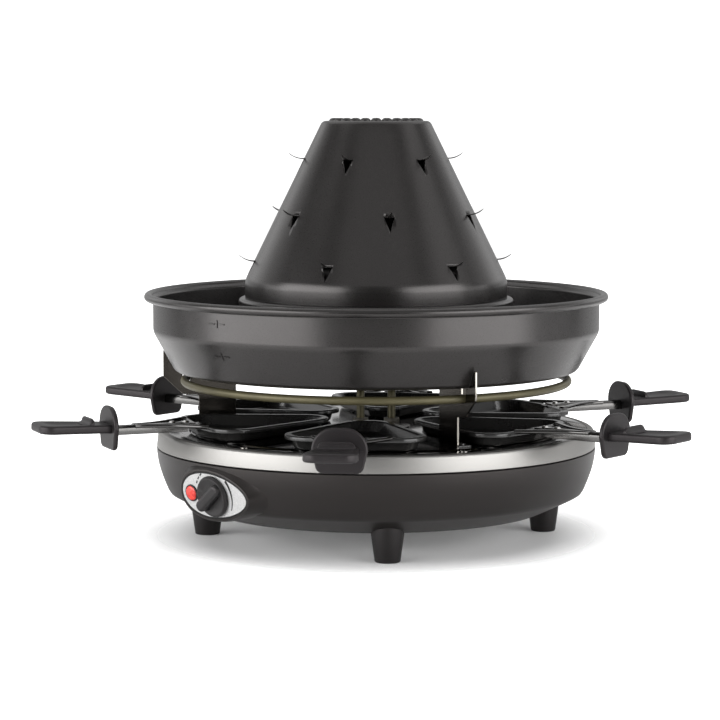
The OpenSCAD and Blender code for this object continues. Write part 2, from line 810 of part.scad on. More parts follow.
module heater_tube() {
    elbow_x = leg_gap / 2 + bend_r;
    elbow_pitch = heater_r - bend_r;
    elbow_y = sqrt(elbow_pitch * elbow_pitch - elbow_x * elbow_x);
    gap_angle = atan2(elbow_x, elbow_y);
    lap_angle = bend_lap / heater_r * 180 / PI;
    drop_top = heater_z - bend_r;
    drop_end = ledge_z - leg_drop;
    color([0.47, 0.44, 0.3]) {
        translate([0, 0, heater_z]) rotate([0, 0, 90 + gap_angle - lap_angle])
            rotate_extrude(angle = 360 - 2 * (gap_angle - lap_angle))
                translate([heater_r, 0]) circle(r = tube_r);
        for (side = [0, 1]) mirror([side, 0, 0]) {
            translate([elbow_x, elbow_y, heater_z]) rotate([0, 0, 90 - gap_angle])
                heater_bend(90 + gap_angle);
            translate([leg_gap / 2, bend_r - bend_lap, heater_z]) rotate([-90, 0, 0])
                cylinder(r = tube_r, h = elbow_y - bend_r + 2 * bend_lap);
            translate([leg_gap / 2, bend_r, drop_top]) rotate([0, 0, 180]) rotate([90, 0, 90])
                heater_bend(90);
            translate([leg_gap / 2, 0, drop_end])
                cylinder(r = tube_r, h = drop_top - drop_end + bend_lap);
        }
    }
}

module heater_flange() {
    color([0.72, 0.72, 0.7])
    difference() {
        translate([0, 0, deck_z]) cylinder(r = flange_r, h = flange_t);
        at_legs() translate([0, 0, deck_z - overrun])
            cylinder(r = tube_r + slip, h = flange_t + 2 * overrun);
        at_flange_screws() translate([0, 0, -overrun])
            cylinder(r = screw_r + slip, h = flange_t + 2 * overrun);
    }
}

module heater_bushes() {
    color([0.9, 0.88, 0.83])
    at_legs() translate([0, 0, deck_z + flange_t]) difference() {
        cylinder(r = tube_r + bush_wall, h = bush_h);
        translate([0, 0, -overrun]) cylinder(r = tube_r + slip, h = bush_h + 2 * overrun);
    }
}

module heater_pins() {
    pin_r = 1.5;
    pin_collar_h = 3;
    pin_collar_w = 1.2;
    color([0.75, 0.74, 0.72])
    at_legs() translate([0, 0, ledge_z - leg_drop - pin_drop]) {
        cylinder(r = pin_r, h = pin_drop);
        translate([0, 0, pin_drop - pin_collar_h]) cylinder(r = pin_r + pin_collar_w, h = pin_collar_h);
    }
}

// Screws in a bracket's foot tab
module at_bracket_screws() {
    inset = 7;
    for (i = [0:bracket_count - 1], r = [bracket_in_r + inset, bracket_out_r - inset])
        at_azimuth(bracket_azimuth + i * bracket_step)
            translate([r, bracket_sheet / 2 + tab_w / 2, deck_z]) children();
}

module bracket(i) {
    top_z = pan_z - lift_gap;
    slant = (pan_wall_r - pan_bottom_r) / pan_slant_h;
    finger_gap = 0.6;
    seat_r = pan_bottom_r + 2 * lift_gap + finger_gap;
    finger_in = seat_r + slant * finger_h;
    finger_out = finger_in + finger_w;
    arm_z = deck_z + post_h;
    arm_out = bracket_out_r + 13;
    arm_rise = 15;
    slot_r = tube_r + lift_gap;
    color([0.8, 0.79, 0.77])
    difference() {
        at_azimuth(bracket_azimuth + (i - 1) * bracket_step) {
            rotate([90, 0, 0]) linear_extrude(bracket_sheet, center = true) difference() {
                polygon(rounded(
                    [[bracket_in_r, deck_z], [bracket_out_r, deck_z], [bracket_out_r, arm_z],
                     [arm_out, arm_z], [finger_out, arm_z + arm_rise], [finger_out, pan_z + finger_h],
                     [finger_in, pan_z + finger_h], [seat_r, top_z], [bracket_in_r, top_z]],
                    [0, 0, 2, 2, 3, 1.5, 1.5, 0, 3]
                ));
                translate([heater_r, heater_z]) circle(r = slot_r);
                translate([heater_r - slot_r, heater_z]) square([2 * slot_r, top_z]);
            }
            translate([bracket_in_r, 0, deck_z])
                cube([bracket_out_r - bracket_in_r, bracket_sheet / 2 + tab_w, bracket_sheet]);
        }
        at_bracket_screws() cylinder(r = screw_r + slip, h = 2 * bracket_sheet);
    }
}

module bracket_screws() {
    color([0.75, 0.74, 0.72])
    at_bracket_screws() translate([0, 0, bracket_sheet]) screw(bracket_sheet + shield_drop / 2);
}

module terminal_block() {
    way_r = 2;
    color([0.88, 0.87, 0.82])
    difference() {
        translate([-block_w / 2, block_y - block_d / 2, stand_h]) cube([block_w, block_d, block_h]);
        for (x = [-1, 0, 1])
            translate([x * block_w / 3, block_y, stand_h + block_h / 2]) cylinder(r = way_r, h = block_h);
    }
}

module cord_gland() {
    color([0.12, 0.12, 0.12])
    difference() {
        union() {
            to_back(gland_r, gland_seat, gland_out);
            to_back(gland_flange_r, gland_seat, gland_seat + gland_flange_t);
        }
        to_back(inlet_r, gland_seat - overrun, gland_out + overrun);
    }
}

// Insulated wires between terminal block, thermostat and heater pins
module wiring() {
    start_y = block_y - block_d / 2 - lift_gap;
    start_z = stand_h + block_h / 2;
    pin_z = ledge_z - leg_drop - pin_drop - lift_gap;
    case_z = -boss_wall - thermostat_d - lift_gap;
    way = block_w / 3;
    leg = leg_gap / 2;
    run = 12;
    bow = 10;
    rise = 3;
    slack = 6;
    from_case = 8;
    out_y = start_y - run;
    turn_z = start_z + rise;
    color([0.55, 0.12, 0.1]) {
        tube_along([[-way, start_y, start_z], [-way, out_y, start_z], [-leg - slack, out_y / 2, start_z],
            [-leg, slack, turn_z], [-leg, 0, pin_z - slack], [-leg, 0, pin_z]], wire_d);
        tube_along([[way, start_y, start_z], [way, out_y, start_z], [leg + 2 * bow, out_y / 3, turn_z],
            [leg + bow, -out_y, turn_z], from_panel([from_case, 0, case_z - 4 * from_case]),
            from_panel([from_case, 0, case_z - from_case]), from_panel([from_case, 0, case_z])], wire_d);
        tube_along([from_panel([-from_case, 0, case_z]), from_panel([-from_case, 0, case_z - from_case]),
            from_panel([-from_case, 0, case_z - 5 * from_case]),
            [leg - slack, -2 * slack, pin_z - 2 * slack],
            [leg, -slack / 3, pin_z - 1.5 * slack], [leg, 0, pin_z - slack], [leg, 0, pin_z]], wire_d);
    }
}

module broth_pan() {
    rim_top = pan_z + pan_slant_h + pan_upright_h;
    slant_z = pan_z + pan_slant_h;
    bead_mid = [pan_wall_r + rim_flare, rim_top - bead_r];
    flare_z = bead_mid.y - rim_flare;
    spigot_out = hat_r - hat_sheet - 2 * lift_gap;
    spigot_in = spigot_out - spigot_sheet;
    color([0.27, 0.25, 0.24])
    rotate_extrude() {
        polygon(rounded(
            [[hub_r - pan_sheet, pan_z], [pan_bottom_r, pan_z], [pan_wall_r, slant_z],
             [pan_wall_r, flare_z], [bead_mid.x, bead_mid.y], [bead_mid.x, rim_top],
             [pan_wall_r - pan_sheet, flare_z + pan_sheet],
             [pan_wall_r - pan_sheet, slant_z + pan_sheet / 3],
             [pan_bottom_r - pan_sheet / 2, pan_z + pan_sheet],
             [hub_r, pan_z + pan_sheet], [hub_r, collar_z],
             [spigot_out, collar_z], [spigot_out, collar_z + spigot_h], [spigot_in, collar_z + spigot_h],
             [spigot_in, collar_z - pan_sheet], [hub_r - pan_sheet, collar_z - pan_sheet]],
            [0, 7, 12, 1, 0, 0, 3, 10, 5, 4, 3, 0, 0.5, 0.5, 0, 1]
        ));
        translate(bead_mid) circle(r = bead_r);
    }
}

// Radius of the hat's outer cone at a height above the hat's base
function cone_r(h) =
    let (start_h = band_h + shoulder_r * sin(cone_angle))
    let (start_r = hat_r - shoulder_r * (1 - cos(cone_angle)))
    start_r - (h - start_h) * tan(cone_angle);

// Outer or inner side of the hat, set in from the outside, from the base to the axis
function hat_side(inset) =
    let (crown_h = hat_h - crown_r)
    let (crown_c = cone_r(crown_h + crown_r * sin(cone_angle)) - crown_r * cos(cone_angle))
    concat(
        [[hat_r - inset, 0]],
        [for (i = [0:arc_steps]) let (t = cone_angle * i / arc_steps)
            [hat_r - shoulder_r, band_h] + (shoulder_r - inset) * [cos(t), sin(t)]],
        [for (i = [0:arc_steps]) let (t = cone_angle + (90 - cone_angle) * i / arc_steps)
            [crown_c, crown_h] + (crown_r - inset) * [cos(t), sin(t)]],
        [[0, hat_h - inset]]
    );

// Places of the spikes, at the top of the hole of each
module at_spikes() {
    rows = [[row_low, 0], [row_middle, 0.5], [row_high, 0]];
    for (row = rows, i = [0:spike_count - 1])
        at_azimuth(spike_azimuth + (i + row[1]) * 360 / spike_count)
            translate([cone_r(row[0]), 0, hat_z + row[0]]) children();
}

// Spike that curls up from the wall, tapering to its point
module spike() {
    bend = 2 * atan2(spike_rise, spike_reach);
    curl_r = spike_reach / sin(bend);
    root = hat_sheet * 0.7;
    point_w = 0.4;
    intersection() {
        rotate([90, 0, 0]) linear_extrude(spike_w, center = true) polygon(concat(
            [[-root, spike_sheet], [-root, 0]],
            [for (i = [0:arc_steps]) let (t = bend * i / arc_steps)
                [curl_r * sin(t), curl_r * (1 - cos(t))]],
            [for (i = [0:arc_steps]) let (t = bend * (1 - i / arc_steps))
                [(curl_r - spike_sheet) * sin(t), curl_r - (curl_r - spike_sheet) * cos(t)]]
        ));
        translate([0, 0, -overrun]) linear_extrude(curl_r) polygon([
            [-root - overrun, -spike_w / 2], [0, -spike_w / 2], [spike_reach, -point_w / 2],
            [spike_reach, point_w / 2], [0, spike_w / 2], [-root - overrun, spike_w / 2]
        ]);
    }
}

module at_nibs() {
    for (i = [0:nib_count - 1])
        at_azimuth(i * 360 / nib_count) translate([nib_pitch_r, 0, hat_z + hat_h]) children();
}

module hat() {
    hole_l = 12;
    color([0.29, 0.27, 0.26])
    difference() {
        union() {
            difference() {
                translate([0, 0, hat_z]) rotate_extrude()
                    polygon(concat([[0, 0]], hat_side(0)));
                translate([0, 0, hat_z]) rotate_extrude()
                    polygon(concat([[0, -overrun], [hat_r - hat_sheet, -overrun]], hat_side(hat_sheet)));
                at_spikes() rotate([90, 0, 90]) linear_extrude(hole_l, center = true)
                    polygon([[-spike_w / 2, 0], [0, -spike_hole_h], [spike_w / 2, 0]]);
            }
            at_spikes() spike();
            at_nibs() translate([0, 0, -hat_sheet / 2])
                cylinder(r1 = nib_r, r2 = nib_r * 0.6, h = nib_h + hat_sheet / 2);
        }
        at_nibs() translate([0, 0, -2 * hat_sheet]) cylinder(r = nib_hole_r, h = nib_h + 3 * hat_sheet);
    }
}

module at_pan(i) {
    at_azimuth(pan_azimuth + (i - 1) * pan_step) children();
}

// Outline of a dish, grown by a margin
function dish_outline(grow) =
    let (out = dish_outer_r - dish_corner_r, half = dish_w / 2 - dish_corner_r)
    around(
        [[dish_tip_r + dish_corner_r, 0], [out, -half], [out + dish_bulge, 0], [out, half]],
        dish_corner_r + grow
    );

// Drafted block under a dish's rim, from floor to top
module dish_block(floor_h, top_h, inset) {
    slab = 0.8;
    hull() {
        translate([0, 0, floor_h]) linear_extrude(slab) polygon(dish_outline(-dish_draft - inset));
        translate([0, 0, top_h - slab]) linear_extrude(slab) polygon(dish_outline(-inset));
    }
}

tongue_w = stem_w - 2 * stem_sheet - 4 * slip;
rivet_inset = 3.2;
rivet_places = [dish_rim_r + rivet_inset, dish_rim_r + tongue_l - rivet_inset];
grip_screw_at = guard_r + guard_t + tang_l / 2;
stem_z = rim_z + stem_sheet;

module dish(i) {
    color([0.12, 0.12, 0.12])
    at_pan(i) difference() {
        union() {
            translate([0, 0, dish_z]) dish_block(0, dish_depth, 0);
            difference() {
                translate([0, 0, rim_z - lip_h]) linear_extrude(lip_h) polygon(dish_outline(lip_w));
                translate([0, 0, rim_z - lip_h - overrun]) linear_extrude(lip_h - dish_sheet + overrun)
                    polygon(dish_outline(lip_w - dish_sheet));
            }
            translate([dish_outer_r, -tongue_w / 2, rim_z - dish_sheet])
                cube([dish_rim_r + tongue_l - dish_outer_r, tongue_w, dish_sheet]);
        }
        translate([0, 0, dish_z]) dish_block(dish_sheet, dish_depth + overrun, dish_sheet);
        for (r = rivet_places)
            translate([r, 0, rim_z - dish_sheet - overrun])
                cylinder(r = rivet_r + slip, h = dish_sheet + 2 * overrun);
    }
}

// Fork and straight sheet of a stem, seen from above
module stem_sheet_outline() {
    fork_end = dish_outer_r + dish_bulge + fork_l;
    fork_lap = 3;
    spine = stem_w / 2 + 2;
    spread = (fork_w - stem_w) / 2 / (fork_end - dish_outer_r);
    window_in = dish_rim_r + prong_w / 2;
    window_side = fork_w / 2 - spread * (window_in - dish_outer_r) - prong_w;
    window_out = window_in + (window_side - spine) / spread;
    difference() {
        polygon(rounded(
            [[dish_outer_r, -fork_w / 2], [fork_end, -stem_w / 2], [guard_r, -stem_w / 2],
             [guard_r, stem_w / 2], [fork_end, stem_w / 2], [dish_outer_r, fork_w / 2]],
            [0, 20, 0, 0, 20, 0]
        ));
        polygon(dish_outline(lip_w - fork_lap));
        for (side = [-1, 1])
            polygon(rounded(
                [[window_in, side * spine], [window_in, side * window_side], [window_out, side * spine]],
                [2, 2, 2]
            ));
    }
}

module stem(i) {
    wall_start = dish_rim_r + 2 * rivet_inset;
    wall_y = (stem_w - stem_sheet) / 2;
    color([0.86, 0.85, 0.83])
    at_pan(i) difference() {
        union() {
            translate([0, 0, rim_z]) linear_extrude(stem_sheet) stem_sheet_outline();
            for (side = [-1, 1])
                translate([wall_start, side * wall_y - stem_sheet / 2, stem_z - stem_h])
                    cube([guard_r - wall_start, stem_sheet, stem_h]);
            translate([guard_r - overrun, -tongue_w / 2, rim_z])
                cube([tang_l + guard_t + overrun, tongue_w, stem_sheet]);
        }
        for (r = concat(rivet_places, [grip_screw_at]))
            translate([r, 0, rim_z - overrun]) cylinder(r = rivet_r + slip, h = stem_sheet + 2 * overrun);
    }
}

grip_drop = 0.7;
grip_mid_z = rim_z + stem_sheet / 2 - grip_drop;
grip_top = grip_t / 2;
grip_screw_recess = 1.4;

// Place at the root of a grip's blade, with local +X along the blade to its tip
module on_blade() {
    translate([guard_r + guard_t, 0, grip_mid_z]) rotate([0, -grip_tilt, 0]) children();
}

// Wall across a grip that stops the thumb, swept into the blade on the tip's side
module thumb_stop() {
    stop_at = 14;
    stop_t = 2.6;
    stop_sweep = 4;
    stop_fillet = 3;
    stop_round = 5;
    toe = 0.3;
    stop_out = stop_at + stop_t;
    stop_top = grip_top + thumb_h;
    intersection() {
        rotate([90, 0, 0]) linear_extrude(neck_w, center = true) polygon(rounded(
            [[stop_at, 0], [stop_out + stop_sweep, 0], [stop_out + stop_sweep, grip_top - toe],
             [stop_out, grip_top - toe], [stop_out, stop_top], [stop_at, stop_top]],
            [0, 0, 0, stop_fillet, 1, 1]
        ));
        rotate([90, 0, 90]) linear_extrude(2 * stop_out) polygon(rounded(
            [[-neck_w / 2, -overrun], [neck_w / 2, -overrun],
             [neck_w / 2, stop_top], [-neck_w / 2, stop_top]],
            [0, 0, stop_round, stop_round]
        ));
    }
}

module grip(i) {
    paddle_l = grip_l - guard_t;
    tip_round = 10;
    recess_margin = 9;
    recess_flat = 2;
    recess_half = grip_w / 2 - recess_margin;
    recess_in = paddle_l * 0.52;
    recess_out = paddle_l - recess_margin - recess_half;
    dome_r = 0.4 * guard_w;
    bore_past = 2;
    color([0.15, 0.15, 0.15])
    at_pan(i) difference() {
        union() {
            translate([guard_r, 0, grip_mid_z]) rotate([90, 0, 90]) linear_extrude(guard_t)
                polygon(rounded(
                    [[-guard_w * 0.4, -guard_h / 2], [guard_w * 0.4, -guard_h / 2],
                     [guard_w / 2, 0], [guard_w / 2, guard_h / 2],
                     [-guard_w / 2, guard_h / 2], [-guard_w / 2, 0]],
                    [5, 5, 0, dome_r, dome_r, 0]
                ));
            on_blade() {
                translate([0, 0, -grip_top]) linear_extrude(grip_t) polygon(rounded(
                    [[-guard_t / 2, -neck_w / 2], [paddle_l, -grip_w / 2],
                     [paddle_l, grip_w / 2], [-guard_t / 2, neck_w / 2]],
                    [0, tip_round, tip_round, 0]
                ));
                thumb_stop();
            }
        }
        on_blade() translate([0, 0, grip_top - grip_recess]) linear_extrude(grip_t)
            polygon(around(
                [[recess_in, -recess_flat], [recess_out, -recess_flat],
                 [recess_out, recess_flat], [recess_in, recess_flat]],
                recess_half - recess_flat
            ));
        translate([guard_r - overrun, -tongue_w / 2 - slip, rim_z - slip])
            cube([tang_l + guard_t + overrun + slip, tongue_w + 2 * slip, stem_sheet + 2 * slip]);
        on_blade() translate([tang_l / 2, 0, -grip_top - overrun]) {
            cylinder(r = rivet_r + slip, h = grip_top + overrun + bore_past);
            cylinder(r = rivet_head_r + 2 * slip, h = grip_screw_recess + overrun);
        }
    }
}

// Rivets of the stem, and the screw that holds the grip on its tang
module fixings(i) {
    head = 1.2;
    color([0.8, 0.79, 0.77])
    at_pan(i) {
        for (r = rivet_places) translate([r, 0, 0]) {
            translate([0, 0, rim_z - dish_sheet - head]) cylinder(r = rivet_head_r, h = head);
            translate([0, 0, rim_z - dish_sheet]) cylinder(r = rivet_r, h = dish_sheet + stem_sheet);
            translate([0, 0, stem_z]) cylinder(r1 = rivet_head_r, r2 = rivet_head_r * 0.6, h = head);
        }
        on_blade() translate([tang_l / 2, 0, grip_screw_recess - grip_top]) {
            translate([0, 0, -head]) cylinder(r = rivet_head_r, h = head);
            cylinder(r = rivet_r, h = grip_top);
        }
    }
}

base_housing();
bottom_cover();
cover_screws();
foot(0);  // foot_front
foot(1);  // foot_right
foot(2);  // foot_back
foot(3);  // foot_left
foot_screws();
chrome_ring();
reflector_tray();
tray_screws();
heat_shield();
control_panel();
lamp_bezel();
lamp_lens();
lamp_holder();
thermostat_case();
heater_tube();
heater_flange();
heater_bushes();
heater_pins();
for (i = [1:bracket_count]) bracket(i);
bracket_screws();
terminal_block();
cord_gland();
wiring();
knob();
thermostat_shaft();
broth_pan();
hat();
for (i = [1:pan_count]) dish(i);
for (i = [1:pan_count]) stem(i);
for (i = [1:pan_count]) grip(i);
for (i = [1:pan_count]) fixings(i);
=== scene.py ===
"""Looks of a round raclette grill: six small pans, a ring heater, a broth pan and a spiked hat."""

import json
from math import atan2, cos, hypot, pi, radians, sin, sqrt, tan

import bmesh
import bpy
from mathutils import Matrix, Vector


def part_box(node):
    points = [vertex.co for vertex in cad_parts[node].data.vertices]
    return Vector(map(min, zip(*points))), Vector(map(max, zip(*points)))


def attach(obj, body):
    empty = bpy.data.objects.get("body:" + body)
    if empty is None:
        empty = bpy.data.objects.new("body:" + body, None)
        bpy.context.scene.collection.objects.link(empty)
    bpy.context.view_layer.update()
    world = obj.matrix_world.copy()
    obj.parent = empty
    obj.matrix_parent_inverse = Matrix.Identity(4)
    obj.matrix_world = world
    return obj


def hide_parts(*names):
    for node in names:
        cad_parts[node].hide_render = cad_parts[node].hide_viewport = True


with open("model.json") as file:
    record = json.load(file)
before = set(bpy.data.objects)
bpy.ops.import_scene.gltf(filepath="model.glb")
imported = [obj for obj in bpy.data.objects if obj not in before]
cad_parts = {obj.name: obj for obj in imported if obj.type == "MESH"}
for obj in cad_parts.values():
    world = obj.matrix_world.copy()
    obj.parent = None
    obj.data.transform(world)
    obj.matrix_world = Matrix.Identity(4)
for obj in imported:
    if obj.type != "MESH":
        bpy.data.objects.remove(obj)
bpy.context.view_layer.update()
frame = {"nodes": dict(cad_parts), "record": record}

# Units of the script
MM = 0.001
DEG = radians(1)

# Levels and radii of the stack in millimetres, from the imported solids
ring_low, ring_high = (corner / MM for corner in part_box("chrome_ring"))
dish_low, dish_high = (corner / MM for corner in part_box("dish_1"))
BASE_R = ring_high.x
STAND_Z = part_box("base_housing")[0].z / MM
RING_Z = ring_low.z
DECK_Z = ring_high.z
DISH_Z = dish_low.z
RIM_Z = dish_high.z
PAN_Z = (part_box("broth_pan")[0] / MM).z
HAT_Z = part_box("hat")[0].z / MM

# Azimuths, from the front towards +X
PAN_COUNT = 6
PAN_AZIMUTH = -6.7 * DEG
PAN_STEP = 2 * pi / PAN_COUNT
FOOT_AZIMUTH = 3.7 * DEG
SPIKE_AZIMUTH = -22.5 * DEG

# Shared roundness, and the angle past which an edge stays sharp
SEGMENTS = 256
ARC_STEPS = 8
SHARP = 35


def at_azimuth(angle):
    """Turn that brings local +X to an azimuth."""
    return Matrix.Rotation(angle - pi / 2, 4, "Z")


# Outlines

def full_turn(count):
    """Even angles around a circle."""
    return [2 * pi * k / count for k in range(count)]


def unit(angle):
    """Step of length 1 in a direction."""
    return Vector((cos(angle), sin(angle)))


def rounded(points, radii, steps=ARC_STEPS):
    """Closed outline with each corner rounded by its own radius."""
    made = []
    count = len(points)
    for i, radius in enumerate(radii):
        before, here, after = (Vector(points[(i + k) % count]) for k in (-1, 0, 1))
        if radius <= 0:
            made.append(here)
            continue
        u, v = (before - here).normalized(), (after - here).normalized()
        half = u.angle(v) / 2
        centre = here + (u + v).normalized() * radius / sin(half)
        start = here + u * radius / tan(half) - centre
        end = here + v * radius / tan(half) - centre
        turn = atan2(start.x * end.y - start.y * end.x, start.dot(end))
        first = atan2(start.y, start.x)
        made += [centre + radius * unit(first + turn * k / steps) for k in range(steps + 1)]
    return made


def around(centres, radius, steps):
    """Outline around circles of one radius, whose centres run anticlockwise."""
    made = []
    points = [Vector(p) for p in centres]
    for i, here in enumerate(points):
        come, go = here - points[i - 1], points[(i + 1) % len(points)] - here
        first = atan2(-come.x, come.y)
        turn = (atan2(-go.x, go.y) - first) % (2 * pi)
        made += [here + radius * unit(first + turn * k / steps) for k in range(steps + 1)]
    return made


# Meshes, made in millimetres

def put(name, data):
    """New object in the scene."""
    made = bpy.data.objects.new(name, data)
    bpy.context.scene.collection.objects.link(made)
    return made


def finish_mesh(bm, name, place=Matrix(), sharp=SHARP):
    """Plain mesh object from a bmesh, in its place, smooth but for its sharp edges."""
    bmesh.ops.remove_doubles(bm, verts=bm.verts, dist=1e-4)
    bmesh.ops.recalc_face_normals(bm, faces=bm.faces)
    bm.transform(Matrix.Scale(MM, 4) @ place)
    mesh = bpy.data.meshes.new(name)
    bm.to_mesh(mesh)
    bm.free()
    mesh.polygons.foreach_set("use_smooth", [True] * len(mesh.polygons))
    mesh.set_sharp_from_angle(angle=sharp * DEG)
    return put(name, mesh)


def fill(bm, rings):
    """Adds a closed solid through rings of equal length, each a loop of points."""
    rows = [[bm.verts.new(p) for p in ring] for ring in rings]
    count = len(rows[0])
    for a, b in zip(rows, rows[1:]):
        for i in range(count):
            j = (i + 1) % count
            bm.faces.new((a[i], a[j], b[j], b[i]))
    bm.faces.new(rows[0])
    bm.faces.new(rows[-1])


def loft(name, rings, place=Matrix(), sharp=SHARP):
    """One closed solid as a piece."""
    bm = bmesh.new()
    fill(bm, rings)
    return finish_mesh(bm, name, place, sharp)


def lathe(name, profile, place=Matrix(), segments=SEGMENTS, sharp=SHARP):
    """Solid of revolution about local Z from a closed outline of (radius, height)."""
    bm = bmesh.new()
    on_axis = 1e-4
    turns = full_turn(segments)
    columns = []
    for r, z in profile:
        if r < on_axis:
            columns.append([bm.verts.new((0, 0, z))] * segments)
        else:
            columns.append([bm.verts.new((r * cos(t), r * sin(t), z)) for t in turns])
    for a, b in zip(columns, columns[1:] + columns[:1]):
        for i in range(segments):
            j = (i + 1) % segments
            corners = list(dict.fromkeys((a[i], a[j], b[j], b[i])))
            if len(corners) > 2:
                bm.faces.new(corners)
    return finish_mesh(bm, name, place, sharp)


def inset_outline(outline, inset):
    """Anticlockwise outline moved inwards, square to itself."""
    moved = []
    for i, here in enumerate(outline):
        along = Vector(outline[(i + 1) % len(outline)]) - Vector(outline[i - 1])
        moved.append(Vector(here) + Vector((-along.y, along.x)).normalized() * inset)
    return moved


def edge_levels(low, high, edge, steps=4):
    """Insets and heights that round a plate's lower and upper edges and keep its faces flat."""
    if not edge:
        return [(0, low), (0, high)]
    quarter = [k / steps * pi / 2 for k in range(steps + 1)]
    margin = 0.1
    bottom = [(edge + margin, low)]
    bottom += [(edge * (1 - sin(t)), low + edge * (1 - cos(t))) for t in quarter]
    return bottom + [(inset, low + high - z) for inset, z in reversed(bottom)]


def plate(name, outline, low, high, edge=0.0, place=Matrix(), sharp=SHARP):
    """Flat piece from an anticlockwise outline, with rounded edges on both faces."""
    levels = edge_levels(low, high, edge)
    rings = [[(*p, z) for p in inset_outline(outline, inset)] for inset, z in levels]
    return loft(name, rings, place, sharp)


def headings(points):
    """Direction of an open path at each of its points."""
    last = len(points) - 1
    return [(points[min(i + 1, last)] - points[max(i - 1, 0)]).normalized() for i in range(last + 1)]


def tube(name, points, radius):
    """Round tube along an open path."""
    sides = full_turn(24)
    ahead = headings(points)
    side = ahead[0].orthogonal().normalized()
    rings = []
    for p, t in zip(points, ahead):
        side = (side - side.dot(t) * t).normalized()
        other = t.cross(side)
        rings.append([p + radius * (cos(a) * side + sin(a) * other) for a in sides])
    return loft(name, rings)


def join(name, parts):
    """One piece from several, with their materials kept."""
    bm = bmesh.new()
    finishes = []
    for part in parts:
        start = len(bm.faces)
        bm.from_mesh(part.data)
        bm.faces.ensure_lookup_table()
        for face in bm.faces[start:]:
            own = part.data.materials[face.material_index] if part.data.materials else None
            if own not in finishes:
                finishes.append(own)
            face.material_index = finishes.index(own)
    mesh = bpy.data.meshes.new(name)
    bm.to_mesh(mesh)
    bm.free()
    for own in finishes:
        mesh.materials.append(own)
    for part in parts:
        bpy.data.objects.remove(part)
    return put(name, mesh)


def copy_at(piece, name, place):
    """Copy of a piece, turned to another place in its mesh."""
    mesh = piece.data.copy()
    mesh.transform(place)
    return put(name, mesh)


def paint(piece, *finishes):
    """Gives a piece its materials."""
    piece.data.materials.clear()
    for finish in finishes:
        piece.data.materials.append(finish)


def dress(piece, body, slot, *nodes):
    """Gives a piece its body and, if it has none, its slot's finish, and hides the solids it stands for."""
    if not any(piece.data.materials):
        paint(piece, FINISHES[slot])
    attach(piece, body)
    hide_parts(*nodes)


# Shader maths

class Value:
    """A value inside one material, with Python operators that add its Math nodes."""

    def __init__(self, finish, socket):
        self.finish = finish
        self.socket = socket

    def math(self, operation, a, b):
        return self.finish.node("ShaderNodeMath", {"operation": operation}, {0: a, 1: b})

    def __add__(self, other):
        return self.math("ADD", self, other)

    __radd__ = __add__

    def __sub__(self, other):
        return self.math("SUBTRACT", self, other)

    def __rsub__(self, other):
        return self.math("SUBTRACT", other, self)

    def __mul__(self, other):
        return self.math("MULTIPLY", self, other)

    __rmul__ = __mul__

    def __gt__(self, other):
        return self.math("GREATER_THAN", self, other)

    def between(self, low, high):
        """0 at low, 1 at high and held there outside them."""
        smooth = {"interpolation_type": "SMOOTHSTEP"}
        sockets = {"Value": self, "From Min": low, "From Max": high}
        return self.finish.node("ShaderNodeMapRange", smooth, sockets)


# Every material by the name of its slot
FINISHES = {}


class Finish:
    """One procedural material."""

    def __init__(self, name, **sockets):
        self.material = FINISHES[name] = bpy.data.materials.new(name)
        self.material.use_nodes = True
        self.tree = self.material.node_tree
        self.shader = self.tree.nodes["Principled BSDF"]
        self.at = self.node("ShaderNodeTexCoord", out=3)
        self.wear(**sockets)

    def wear(self, **sockets):
        """Sets or links sockets of the shader."""
        for key, value in sockets.items():
            self.set(self.shader.inputs[key.replace("_", " ").title().replace("Ior", "IOR")], value)

    def node(self, kind, settings=None, sockets=None, out=0):
        """Adds any node: its settings first, then the values or links of its sockets."""
        made = self.tree.nodes.new(kind)
        for key, value in (settings or {}).items():
            setattr(made, key, value)
        for key, value in (sockets or {}).items():
            self.set(made.inputs[key], value)
        return Value(self, made.outputs[out])

    def set(self, socket, value):
        """Links a value into a socket, or sets a plain number or colour on it."""
        if isinstance(value, Value):
            self.tree.links.new(value.socket, socket)
        elif isinstance(value, tuple) and len(value) == 3 and socket.type == "RGBA":
            socket.default_value = (*value, 1)
        else:
            socket.default_value = value

    def noise(self, scale, detail):
        """Soft cloudy pattern from 0 to 1."""
        sockets = {"Vector": self.at, "Scale": scale, "Detail": detail, "Roughness": 0.55}
        return self.node("ShaderNodeTexNoise", None, sockets)

    def reach(self):
        """Distance from the origin."""
        return self.node("ShaderNodeVectorMath", {"operation": "LENGTH"}, {0: self.at}, out=1)

    def cells(self, scale):
        """A random number for each cell of a fine grain."""
        colour = self.node("ShaderNodeTexVoronoi", None, {"Vector": self.at, "Scale": scale}, out=1)
        return self.node("ShaderNodeSeparateColor", None, {"Color": colour})

    def mix(self, amount, a, b):
        """Colour between a and b."""
        return self.node("ShaderNodeMix", {"data_type": "RGBA"}, {0: amount, 6: a, 7: b}, out=2)

    def edges(self):
        """1 on outer edges and 0 on flat faces."""
        return self.node("ShaderNodeNewGeometry", out=7).between(0.52, 0.6)

    def bump(self, height, strength, depth):
        """Raises the surface by a height pattern."""
        sockets = {"Height": height, "Strength": strength, "Distance": depth}
        self.wear(normal=self.node("ShaderNodeBump", None, sockets))


# Finishes

